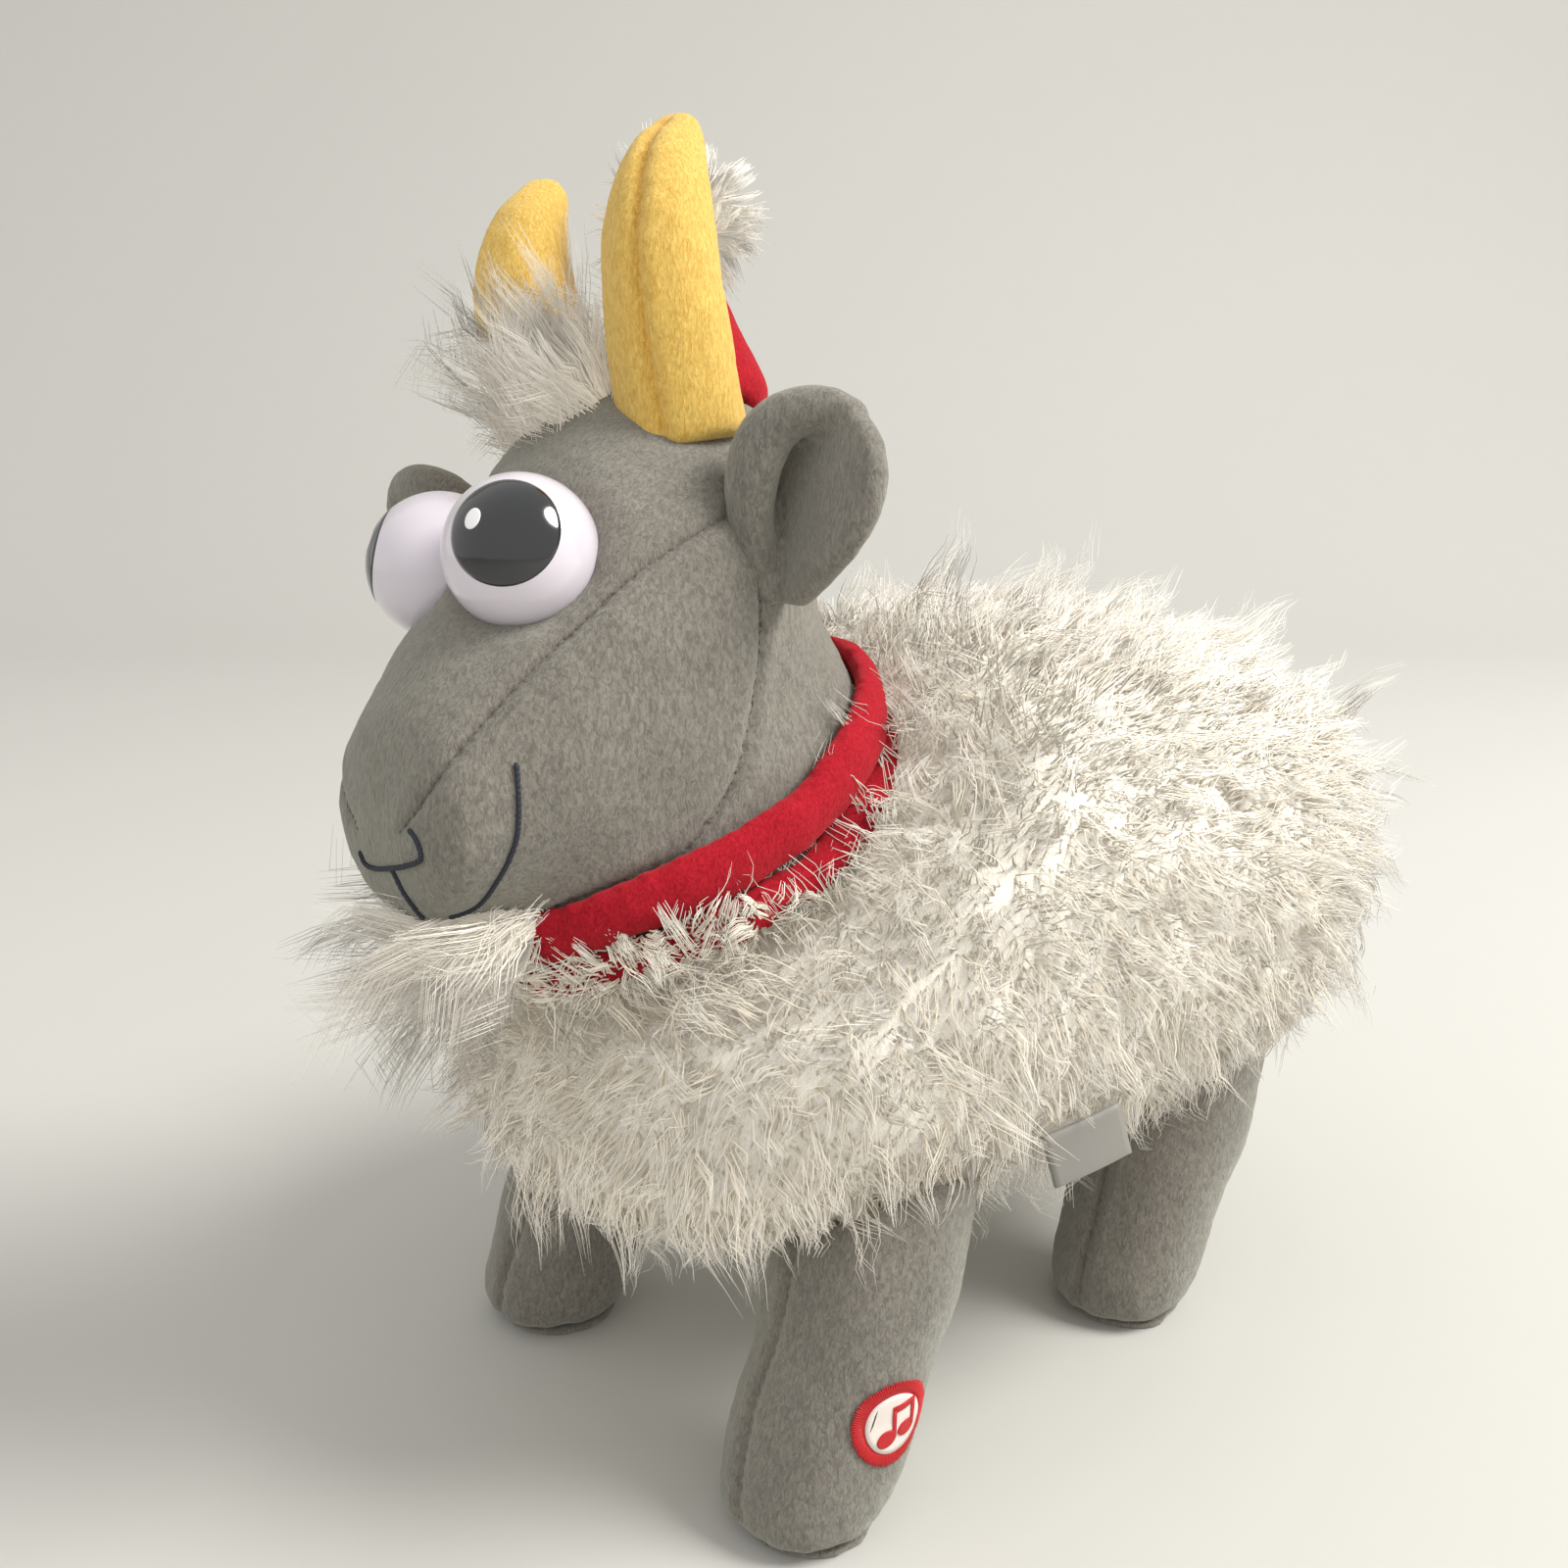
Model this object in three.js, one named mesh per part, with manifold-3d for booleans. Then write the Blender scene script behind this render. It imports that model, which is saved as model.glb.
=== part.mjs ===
// Musical plush goat standing on four soft legs, about 30 cm tall to the horn tips.
// Millimetres. +X is the goat's left side, -Y is where it looks, +Z is up.
import * as THREE from "three";
import { mergeVertices } from "three/addons/utils/BufferGeometryUtils.js";
import Module from "manifold-3d";

// Driving dimensions

const seamGap = 0.3; // between pieces that touch
const slideGap = 0.4; // round pieces that slide

const bellyHeight = 58; // floor to the belly
const bodyHeight = 132; // belly to back, through the shag
const bodyWidth = 180;
const bodyLength = 252; // chest to rump
const neckWidth = 74;
const neckDepth = 102; // along the slope of the neck seam
const neckSlope = 60; // degrees, how far the neck seam leans back
const skullNeckDepth = 76; // where the neck ends inside the skull
const neckSetback = 49; // middle of the neck seam behind the chest
const neckDrop = 46; // and below the back

const headLength = 123; // back of the head to the nose
const headWidth = 82; // across the cheeks
const headHeight = 94; // crown to jaw
const muzzleWidth = 46;
const muzzleHeight = 46;
const snoutDrop = 49; // nose below the back of the head
const headRise = 10.4; // middle of the head above the back of the body
const headForward = 34; // middle of the head behind the chest
const headShift = -5;
const headYaw = 3.9; // degrees
const headNod = 3.4;
const headRoll = 9;

const eyeDiameter = 31.8;
const eyeSpacing = 31; // between the two centres
const eyeAlong = 0.66; // share of the head length, from the back
const eyeSunk = 6.2; // centre below the brow line
const pupilDiameter = 21.5;
const pupilThickness = 1.1;
const pupilTurnOut = 45; // degrees from straight ahead
const pupilTurnUp = 20;
const shankDiameter = 5;
const shankLength = 13;
const washerDiameter = 15;
const washerThickness = 1.6;

const hornHeight = 53.5; // above the crown
const hornWidth = 27;
const hornDepth = 24;
const hornSpacing = 42;
const hornSweep = 11; // how far the tip bends back
const earLength = 44;
const earWidth = 34;
const earThickness = 7.5;
const earCup = 10; // depth of the fold
const earDrop = 49.5; // its root below the crown
const forelockWidth = 40;
const forelockReach = 26;
const beardWidth = 40;
const beardReach = 42;
const hatDiameter = 33;
const hatHeight = 44;
const hatLean = 4; // degrees back
const pompomDiameter = 37;

const scarfRise = 7; // roll above the neck seam
const scarfRollHeight = 14.3;
const scarfRollThickness = 7.5;
const scarfLayerHeight = 10;
const scarfLayerThickness = 4;
const scarfFlare = 45; // degrees, how far the lower layer slopes out

const legWidth = 42; // across the foot
const thighWidth = 50;
const frontFootSetback = 38; // foot centre behind the chest
const rearFootSetback = 90; // foot centre ahead of the rump
const frontLegLean = 26; // how far the top sits behind the foot
const rearLegLean = 27;
const frontStanceShare = 0.598; // foot centre from the middle, of half the body width
const rearStanceShare = 0.5;
const legTopInside = 34; // how far a leg runs up inside the body
const footRounding = 24; // reach of the rounded end that the sole cuts off
const soleDiameter = 35;
const soleThickness = 1.6;
const tailLength = 30;
const tailWidth = 24;
const tagLength = 20;
const tagWidth = 8;
const tagThickness = 0.8;
const tagSetback = 110; // middle of the tag behind the chest
const tagAboveBelly = 17;
const tagRise = 28; // degrees, its rear end higher
const tagTilt = 40; // degrees, how far it faces down

const badgeDiameter = 20;
const badgeThickness = 1.4;
const badgeHeight = 31; // centre above the floor
const badgeSetback = 5; // centre behind the foot centre
const pressTravel = 2;
const switchDiameter = 24;
const switchDepth = 11;
const switchWall = 1.4;
const capWall = 1.2;
const springWire = 0.7;
const springDiameter = 9;
const springTurns = 3.5;
const contactBoardThickness = 1;
const leadDiameter = 2.4;

const caseWidth = 62;
const caseLength = 66;
const caseDepth = 33; // flange face to the top of the cover
const caseWall = 1.8;
const caseCorner = 5;
const flangeWidth = 4;
const flangeThickness = 2;
const caseSetback = 118; // module centre behind the chest
const moduleSunk = 3.5; // flange above the belly
const coverThickness = 2;
const cellDiameter = 10.4;
const cellLength = 44;
const cellCount = 3;
const cellClearance = 0.4;
const terminalDiameter = 3.6;
const terminalHeight = 0.8;
const contactThickness = 0.5;
const doorThickness = 2.2;
const doorTabWidth = 8;
const doorTabReach = 2.4;
const doorLap = 1.4; // ledge under the door edge
const screwDiameter = 3;
const screwHeadDiameter = 5.4;
const screwHeadHeight = 1.8;
const doorScrewLength = 5.5;
const caseScrewLength = 9;
const bossDiameter = 6.4;
const speakerDiameter = 36;
const speakerDepth = 9.4;
const speakerRim = 2.5; // height of the rim
const magnetDiameter = 20;
const magnetThickness = 3.6;
const slotWidth = 2;
const slotPitch = 4.6;
const slotCount = 7;
const boardThickness = 1.2;
const knobTravel = 4; // off to on
const knobWidth = 5;
const knobLength = 6;

// Places worked out from them

const chestY = -bodyLength * 0.4;
const rumpY = chestY + bodyLength;
const bodyMidZ = bellyHeight + bodyHeight / 2;
const backZ = bellyHeight + bodyHeight;
const degrees = THREE.MathUtils.degToRad;

// Materials

function finish(color, roughness, metalness = 0) {
  return new THREE.MeshStandardMaterial({ color, roughness, metalness });
}

const whiteShag = finish(0xf1ece0, 0.95);
const greyPlush = finish(0x8b8b84, 0.9);
const yellowPlush = finish(0xeec95c, 0.9);
const redPlush = finish(0xa8121c, 0.9);
const redThread = finish(0xc01a1e, 0.7);
const greySatin = finish(0xa9a8a6, 0.6);
const eyeWhite = finish(0xe9e6f0, 0.12);
const pupilBlack = finish(0x101012, 0.1);
const whiteNylon = finish(0xe6e4dd, 0.5);
const blackPlastic = finish(0x1c1c1e, 0.5);
const springSteel = finish(0xb9bcc0, 0.3, 1);
const boardGreen = finish(0x1f5a34, 0.6);
const cellSleeve = finish(0x3a5f8f, 0.4);
const coneBlack = finish(0x151515, 0.85);
const leadRed = finish(0x9c1f1f, 0.5);

// Solids

const wasm = await Module();
wasm.setup();

function solid(geometry) {
  const bare = geometry.clone();
  bare.deleteAttribute("normal");
  bare.deleteAttribute("uv");
  const merged = mergeVertices(bare, 1e-4);
  const made = new wasm.Manifold(
    new wasm.Mesh({
      numProp: 3,
      vertProperties: new Float32Array(merged.attributes.position.array),
      triVerts: new Uint32Array(merged.index.array),
    }),
  );
  return made;
}

function geometryOf(shape) {
  const mesh = shape.getMesh();
  const geometry = new THREE.BufferGeometry();
  geometry.setAttribute("position", new THREE.BufferAttribute(mesh.vertProperties, 3));
  geometry.setIndex(new THREE.BufferAttribute(mesh.triVerts, 1));
  geometry.computeVertexNormals();
  return geometry;
}

// The first geometry with the others cut out of it.
function cut(base, ...tools) {
  let shape = solid(base);
  for (const tool of tools) shape = shape.subtract(solid(tool));
  return geometryOf(shape);
}

function joined(base, ...others) {
  let shape = solid(base);
  for (const other of others) shape = shape.add(solid(other));
  return geometryOf(shape);
}

// Closed skin through rings of points; each end is closed round its own centre.
function loft(rings) {
  const sides = rings[0].length;
  const points = rings.flat();
  const faces = [];
  for (let r = 0; r < rings.length - 1; r++) {
    for (let i = 0; i < sides; i++) {
      const a = r * sides + i;
      const b = r * sides + ((i + 1) % sides);
      faces.push(a, b, a + sides, b, b + sides, a + sides);
    }
  }
  for (const end of [0, rings.length - 1]) {
    const centre = new THREE.Vector3();
    for (const p of rings[end]) centre.addScaledVector(p, 1 / sides);
    const c = points.push(centre) - 1;
    for (let i = 0; i < sides; i++) {
      const a = end * sides + i;
      const b = end * sides + ((i + 1) % sides);
      if (end === 0) faces.push(a, c, b);
      else faces.push(a, b, c);
    }
  }
  return outward(points, faces);
}

// Closed band whose last ring joins the first one.
function bandThrough(rings) {
  const sides = rings[0].length;
  const points = rings.flat();
  const faces = [];
  for (let r = 0; r < rings.length; r++) {
    const next = (r + 1) % rings.length;
    for (let i = 0; i < sides; i++) {
      const j = (i + 1) % sides;
      faces.push(r * sides + i, r * sides + j, next * sides + i);
      faces.push(r * sides + j, next * sides + j, next * sides + i);
    }
  }
  return outward(points, faces);
}

function outward(points, faces) {
  let volume = 0;
  const across = new THREE.Vector3();
  for (let f = 0; f < faces.length; f += 3) {
    across.crossVectors(points[faces[f + 1]], points[faces[f + 2]]);
    volume += points[faces[f]].dot(across);
  }
  if (volume < 0) faces.reverse();
  const geometry = new THREE.BufferGeometry().setFromPoints(points);
  geometry.setIndex(faces);
  geometry.computeVertexNormals();
  return geometry;
}

// A stuffed form swells and tapers through its stations: place, half width across X, half height,
// and how far the ring leans back from upright. Round ends reach startReach and endReach further.
// A fullness of 2 gives oval rings, and more gives squarer ones.
function stuffed(stations, options) {
  const { sides = 20, steps = 12, startReach = 0, endReach = 0, fullness = 2, grow = 0 } = options;
  const full = (v) => Math.sign(v) * Math.abs(v) ** (2 / fullness);
  const places = stations.map((s) => new THREE.Vector3(s.x ?? 0, s.y, s.z));
  const sizes = stations.map((s) => new THREE.Vector3(s.wide + grow, s.high + grow, s.lean ?? 0));
  const path = new THREE.CatmullRomCurve3(places, false, "catmullrom", 0.5);
  const size = new THREE.CatmullRomCurve3(sizes, false, "catmullrom", 0.5);
  const ring = (centre, now, scale) => {
    const lean = degrees(now.z);
    const points = [];
    for (let i = 0; i < sides; i++) {
      const turn = (i / sides) * Math.PI * 2;
      const out = full(Math.cos(turn)) * now.x * scale;
      const up = full(Math.sin(turn)) * now.y * scale;
      const step = new THREE.Vector3(out, up * Math.sin(lean), up * Math.cos(lean));
      points.push(step.add(centre));
    }
    return points;
  };
  const rings = [];
  const roundEnd = (t, reach, order) => {
    const heading = path.getTangent(t).multiplyScalar(t === 0 ? -1 : 1);
    for (const k of order) {
      const angle = (k / 4) * (Math.PI / 2);
      const centre = path.getPoint(t).addScaledVector(heading, (reach + grow) * Math.sin(angle));
      rings.push(ring(centre, size.getPoint(t), Math.cos(angle)));
    }
  };
  if (startReach) roundEnd(0, startReach, [3.8, 3, 2, 1]);
  for (let i = 0; i <= steps; i++) rings.push(ring(path.getPoint(i / steps), size.getPoint(i / steps), 1));
  if (endReach) roundEnd(1, endReach, [1, 2, 3, 3.8]);
  return loft(rings);
}

function roundedPlate(width, length, corner, thickness) {
  const w = width / 2;
  const l = length / 2;
  const outline = new THREE.Shape();
  outline.moveTo(-w + corner, -l);
  outline.lineTo(w - corner, -l);
  outline.absarc(w - corner, -l + corner, corner, -Math.PI / 2, 0);
  outline.absarc(w - corner, l - corner, corner, 0, Math.PI / 2);
  outline.absarc(-w + corner, l - corner, corner, Math.PI / 2, Math.PI);
  outline.absarc(-w + corner, -l + corner, corner, Math.PI, Math.PI * 1.5);
  const options = { depth: thickness, bevelEnabled: false, curveSegments: 3 };
  return new THREE.ExtrudeGeometry(outline, options);
}

function block(width, length, height, x, y, z) {
  return new THREE.BoxGeometry(width, length, height).translate(x, y, z + height / 2);
}

// Upright round bar standing on z.
function bar(diameter, height, x, y, z, sides = 16) {
  const geometry = new THREE.CylinderGeometry(diameter / 2, diameter / 2, height, sides);
  return geometry.rotateX(Math.PI / 2).translate(x, y, z + height / 2);
}

// Closed turned form from [radius, height] pairs that start and end on the axis, standing along Z.
function turned(profile, sides = 20) {
  const points = profile.map(([r, z]) => new THREE.Vector2(r, z));
  return new THREE.LatheGeometry(points, sides).rotateX(Math.PI / 2);
}

// Closed turned ring from [radius, height] pairs that go round off the axis.
function turnedRing(profile, sides = 20) {
  return turned([...profile, profile[0]], sides);
}

const goat = new THREE.Group();
const head = new THREE.Group();
goat.add(head);

function add(parent, name, geometry, material) {
  const mesh = new THREE.Mesh(geometry, material);
  mesh.name = name;
  parent.add(mesh);
  return mesh;
}

// Body: the barrel of shag, its front end leaning back to the neck seam.

const neckY = chestY + neckSetback;
const neckZ = backZ - neckDrop;
const bodyStations = [
  { y: neckY, z: neckZ, wide: neckWidth / 2 + 1, high: neckDepth / 2, lean: neckSlope },
  { y: chestY + 49, z: bodyMidZ + 13, wide: bodyWidth * 0.37, high: bodyHeight * 0.535, lean: 50 },
  { y: chestY + 59, z: bodyMidZ + 2, wide: bodyWidth * 0.45, high: bodyHeight * 0.61, lean: 37 },
  { y: chestY + 95, z: bodyMidZ, wide: bodyWidth * 0.49, high: bodyHeight * 0.52, lean: 15 },
  { y: chestY + 130, z: bodyMidZ, wide: bodyWidth / 2, high: bodyHeight / 2, lean: 4 },
  { y: rumpY - 76, z: bodyMidZ, wide: bodyWidth / 2, high: bodyHeight / 2, lean: 0 },
  { y: rumpY - 37, z: bodyMidZ, wide: bodyWidth * 0.43, high: bodyHeight * 0.44, lean: -6 },
];
const bodyForm = (grow) =>
  stuffed(bodyStations, { sides: 28, steps: 14, endReach: 37, fullness: 2.4, grow });

// Head: skull, cheeks and a snout that drops towards the nose.

head.position.set(headShift, chestY + headForward, backZ + headRise);
head.rotation.order = "ZXY";
head.rotation.set(degrees(headNod), -degrees(headRoll), degrees(headYaw));
goat.updateMatrixWorld(true);
const toHead = head.matrixWorld.clone().invert();
const inHead = (geometry) => geometry.clone().applyMatrix4(toHead);

const skullY = headLength * 0.36; // back of the head
const alongHead = (share) => skullY - headLength * share;
const headStations = [
  { y: alongHead(0.19), z: 9, wide: headWidth * 0.44, high: headHeight * 0.375 },
  { y: alongHead(0.36), z: -0.7, wide: headWidth * 0.5, high: headHeight * 0.525 },
  { y: alongHead(0.52), z: -snoutDrop * 0.19, wide: headWidth * 0.48, high: headHeight * 0.51 },
  { y: alongHead(0.67), z: -snoutDrop * 0.4, wide: headWidth * 0.42, high: headHeight * 0.41 },
  { y: alongHead(0.8), z: -snoutDrop * 0.54, wide: muzzleWidth * 0.61, high: muzzleHeight * 0.63 },
  { y: alongHead(0.89), z: -snoutDrop * 0.68, wide: muzzleWidth * 0.54, high: muzzleHeight * 0.49 },
];
const skullForm = (grow) =>
  stuffed(headStations, { sides: 20, steps: 10, startReach: 23, endReach: 7.5, grow });

// Half sizes and place of the head at a share of its length.
function headAt(share) {
  const last = headStations.length - 1;
  const y = alongHead(share);
  let i = 0;
  while (i < last - 1 && headStations[i + 1].y > y) i++;
  const a = headStations[i];
  const b = headStations[i + 1];
  const t = THREE.MathUtils.clamp((a.y - y) / (a.y - b.y), 0, 1);
  const mix = (key) => THREE.MathUtils.lerp(a[key], b[key], t);
  return { y, z: mix("z"), wide: mix("wide"), high: mix("high") };
}

const neckStart = new THREE.Vector3(0, neckY, neckZ);
const neckAxis = new THREE.Vector3(0, -Math.cos(degrees(neckSlope)), Math.sin(degrees(neckSlope)));
const skullMiddle = new THREE.Vector3(0, alongHead(0.5), 0).applyMatrix4(head.matrixWorld);

// The throat runs from the chin down to the neck seam and the nape from the skull.
const throatY = neckY - 15;
const throatZ = neckZ + 25;
const throatWidth = neckWidth * 0.52;
const throatReach = neckDepth * 0.53;

function neckForm(grow) {
  const stations = [
    { y: neckY, z: neckZ, wide: neckWidth / 2, high: neckDepth / 2 - 1, lean: neckSlope },
    {
      x: skullMiddle.x * 0.5,
      y: throatY,
      z: throatZ,
      wide: throatWidth,
      high: throatReach,
      lean: neckSlope - 2,
    },
    {
      x: skullMiddle.x,
      y: skullMiddle.y,
      z: skullMiddle.z,
      wide: neckWidth * 0.46,
      high: skullNeckDepth / 2,
      lean: neckSlope - 5,
    },
  ];
  return stuffed(stations, { sides: 20, steps: 4, grow });
}

// Eyes: glossy domes pressed into the face, each held by a shank and a washer behind the fabric.

const eyeRadius = eyeDiameter / 2;
const browPoint = headAt(eyeAlong);
const eyePlace = new THREE.Vector3(eyeSpacing / 2, browPoint.y, browPoint.z + browPoint.high - eyeSunk);
const eyeBack = -eyeRadius * 0.42; // flat back of the dome, along its own axis
const shankEnd = eyeBack - shankLength;
const washerTop = eyeBack - 4;
const pupilAngle = Math.asin(pupilDiameter / eyeDiameter);

function arcProfile(radius, from, to, steps) {
  const points = [];
  for (let k = 0; k <= steps; k++) {
    const a = from + ((to - from) * k) / steps;
    points.push([Math.max(0, radius * Math.sin(a)), radius * Math.cos(a)]);
  }
  return points;
}

function eyeForm() {
  const backAngle = Math.acos(eyeBack / eyeRadius);
  return turned([
    [0, shankEnd],
    [shankDiameter / 2, shankEnd],
    [shankDiameter / 2, eyeBack],
    ...arcProfile(eyeRadius, backAngle, pupilAngle, 6),
    ...arcProfile(eyeRadius - pupilThickness, pupilAngle, 0, 4),
  ]);
}

function pupilForm() {
  const edge = pupilAngle - seamGap / eyeRadius;
  const inner = eyeRadius - pupilThickness + seamGap;
  return turned([
    ...arcProfile(inner, 0, edge, 4),
    ...arcProfile(eyeRadius, edge, 0, 4),
  ]);
}

// Room for the dome in the stuffed head.
function eyeSocket() {
  const backAngle = Math.acos((eyeBack - seamGap) / (eyeRadius + seamGap));
  const dome = arcProfile(eyeRadius + seamGap, backAngle, 0, 6);
  return turned([[0, eyeBack - seamGap], ...dome]);
}

// Room for its shank and its washer.
function shankRoom() {
  const room = washerDiameter / 2 + 2 * seamGap;
  const stem = shankDiameter / 2 + 2 * seamGap;
  return turned([
    [0, shankEnd - seamGap],
    [stem, shankEnd - seamGap],
    [stem, washerTop - washerThickness - seamGap],
    [room, washerTop - washerThickness - seamGap],
    [room, washerTop + seamGap],
    [stem, washerTop + seamGap],
    [stem, eyeBack],
    [0, eyeBack],
  ], 12);
}

function washerForm() {
  const bore = shankDiameter / 2 + seamGap;
  const floor = washerTop - washerThickness;
  return turnedRing([
    [bore, floor],
    [washerDiameter / 2, floor],
    [washerDiameter / 2, floor + washerThickness * 0.6],
    [bore + 2, washerTop],
    [bore, washerTop],
  ], 12);
}

// Turns a form that looks along +Z so that it looks forwards, out and up.
const eyeTurn = new THREE.Matrix4()
  .makeRotationZ(degrees(pupilTurnOut))
  .multiply(new THREE.Matrix4().makeRotationX(degrees(90 - pupilTurnUp)));
eyeTurn.setPosition(eyePlace);
const inFace = (geometry) => geometry.applyMatrix4(eyeTurn);
const mirrored = (geometry) => outwardAgain(geometry.clone().scale(-1, 1, 1));

// Turns the faces of a mirrored geometry outwards again.
function outwardAgain(geometry) {
  const index = geometry.index.array;
  for (let f = 0; f < index.length; f += 3) {
    const kept = index[f];
    index[f] = index[f + 1];
    index[f + 1] = kept;
  }
  geometry.computeVertexNormals();
  return geometry;
}

const sides = { left: new THREE.Group(), right: new THREE.Group() };
sides.right.scale.x = -1;
head.add(sides.left, sides.right);
for (const [side, group] of Object.entries(sides)) {
  add(group, `${side}_eye`, inFace(eyeForm()), eyeWhite);
  add(group, `${side}_pupil`, inFace(pupilForm()), pupilBlack);
  add(group, `${side}_eye_washer`, inFace(washerForm()), whiteNylon);
}

const sockets = [inFace(eyeSocket()), inFace(shankRoom())];
const skullWithNeck = joined(skullForm(0), inHead(neckForm(0)));
const farSockets = sockets.map(mirrored);
const headShape = cut(skullWithNeck, inHead(bodyForm(seamGap)), ...sockets, ...farSockets);
add(head, "head", headShape, greyPlush);

// Horns, ears, tufts and hat stand on the head and are trimmed to it.

const crown = headAt(0.33);
const crownZ = crown.z + crown.high;
const headRoom = skullForm(seamGap);

function hornForm(grow) {
  const x = hornSpacing / 2;
  const rise = (share) => crownZ + (hornHeight - 6) * share;
  const back = (share) => crown.y + 1 + hornSweep * share;
  const half = hornWidth / 2;
  const deep = hornDepth / 2;
  const stations = [
    { x, y: back(0.1), z: rise(-0.12), wide: half * 0.94, high: deep * 0.94, lean: 88 },
    { x: x + 2.5, y: back(-0.14), z: rise(0.22), wide: half, high: deep, lean: 91 },
    { x: x + 4.2, y: back(-0.12), z: rise(0.58), wide: half * 0.92, high: deep * 0.94, lean: 97 },
    { x: x + 4.4, y: back(0.3), z: rise(0.86), wide: half * 0.68, high: deep * 0.72, lean: 110 },
    { x: x + 4, y: back(0.75), z: rise(0.99), wide: half * 0.42, high: deep * 0.46, lean: 122 },
  ];
  return stuffed(stations, { sides: 12, steps: 8, endReach: 5, grow });
}

// One slice across the folded ear: a plump lip on the head's side, a crease, then the open cup.
const earCrease = -0.3; // share of the half width, from the middle
function earDepth(u) {
  if (u < earCrease) {
    const lip = (earCrease - u) / (1 + earCrease);
    return earCup * (0.62 - 1.25 * Math.sin(Math.min(1, lip * 1.15) * Math.PI * 0.62) + 0.62 * lip);
  }
  const open = (u - earCrease) / (1 - earCrease);
  return earCup * (0.62 - 0.95 * Math.sin(open * Math.PI * 0.5));
}

function earSlice(height, half, fold, thick) {
  const points = [];
  const count = 8;
  const place = (u, face) => {
    const body = (thick / 2) * Math.sqrt(1 - 0.8 * u ** 6) * face;
    points.push(new THREE.Vector3(u * half, earDepth(u) * fold + body, height));
  };
  for (let i = 0; i < count; i++) place(-1 + (2 * i) / (count - 1), -1);
  for (let i = 0; i < count; i++) place(1 - (2 * i) / (count - 1), 1);
  return points;
}

function earForm() {
  const slices = [];
  const count = 10;
  for (let k = 0; k <= count; k++) {
    const share = 0.015 + (0.97 * k) / count;
    const round = Math.sqrt(1 - Math.abs(2 * share - 1) ** 2.3);
    const narrow = 0.66 + 0.34 * THREE.MathUtils.smoothstep(share, 0, 0.5);
    const half = (earWidth / 2) * round * narrow;
    slices.push(earSlice(earLength * share, half, round, earThickness * (0.4 + 0.6 * round)));
  }
  return loft(slices);
}

const earTurn = new THREE.Matrix4().makeRotationFromEuler(
  new THREE.Euler(degrees(-6), degrees(20), degrees(20), "ZYX"),
);
earTurn.setPosition(headWidth / 2 + 4, crown.y + 3, crownZ - earDrop);
const placedEar = earForm().applyMatrix4(earTurn);

for (const [side, group] of Object.entries(sides)) {
  add(group, `${side}_horn`, cut(hornForm(0), headRoom), yellowPlush);
  add(group, `${side}_ear`, cut(placedEar, headRoom), greyPlush);
}

const hornRoom = hornForm(seamGap);
const hornRooms = [hornRoom, mirrored(hornRoom)];

const forelockStations = [
  { y: crown.y - 4, z: crownZ - 10, wide: forelockWidth * 0.4, high: 11, lean: 56 },
  { x: -2, y: crown.y - 14, z: crownZ + 6, wide: forelockWidth * 0.5, high: 14, lean: 56 },
  {
    x: -6,
    y: crown.y - forelockReach * 0.8,
    z: crownZ + forelockReach * 0.7,
    wide: forelockWidth * 0.36,
    high: 10,
    lean: 56,
  },
];
const forelock = stuffed(forelockStations, { sides: 14, steps: 5, endReach: 8 });
add(head, "forelock", cut(forelock, headRoom, ...hornRooms), whiteShag);

const hatPlace = new THREE.Matrix4().makeRotationX(degrees(-hatLean));
hatPlace.setPosition(0, crown.y + 25, crownZ - 8);
function hatCone(grow) {
  const radius = hatDiameter / 2 + grow;
  const tip = 2.6 + grow;
  const height = hatHeight + grow;
  return turned([
    [0, -grow],
    [radius * 0.92, -grow],
    [radius, 5],
    [radius * 0.66, height * 0.45],
    [tip, height],
    [0, height],
  ]).applyMatrix4(hatPlace);
}
function pompomForm() {
  const ball = turned(arcProfile(pompomDiameter / 2, Math.PI, 0, 8), 16);
  return ball.translate(0, 0, hatHeight).applyMatrix4(hatPlace);
}
add(head, "hat_cone", cut(hatCone(0), headRoom, ...hornRooms), redPlush);
add(head, "hat_pompom", cut(pompomForm(), hatCone(seamGap), ...hornRooms), whiteShag);

// Scarf: a folded roll over a lower layer, both lying along the neck seam.

const acrossNeck = new THREE.Vector3(1, 0, 0);
const downSlope = new THREE.Vector3(0, Math.sin(degrees(neckSlope)), Math.cos(degrees(neckSlope)));

// Oval section of a band: its middle as distance out from the neck and along its axis.
function ovalSection(out, along, across, tall, turn) {
  const points = [];
  for (let c = 0; c < 8; c++) {
    const corner = (c / 8) * Math.PI * 2;
    const a = across * Math.cos(corner);
    const t = tall * Math.sin(corner);
    points.push([
      out + a * Math.cos(turn) - t * Math.sin(turn),
      along + a * Math.sin(turn) + t * Math.cos(turn),
    ]);
  }
  return points;
}

function neckBand(section) {
  const count = 28;
  const rings = [];
  for (let k = 0; k < count; k++) {
    const turn = (k / count) * Math.PI * 2;
    const radial = acrossNeck.clone().multiplyScalar(Math.cos(turn));
    radial.addScaledVector(downSlope, Math.sin(turn));
    const ring = section.map(([out, along]) => {
      const point = neckStart.clone().addScaledVector(neckAxis, along);
      point.addScaledVector(acrossNeck, (neckWidth / 2) * Math.cos(turn));
      point.addScaledVector(downSlope, (neckDepth / 2) * Math.sin(turn));
      return point.addScaledVector(radial, out);
    });
    rings.push(ring);
  }
  return bandThrough(rings);
}

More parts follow.
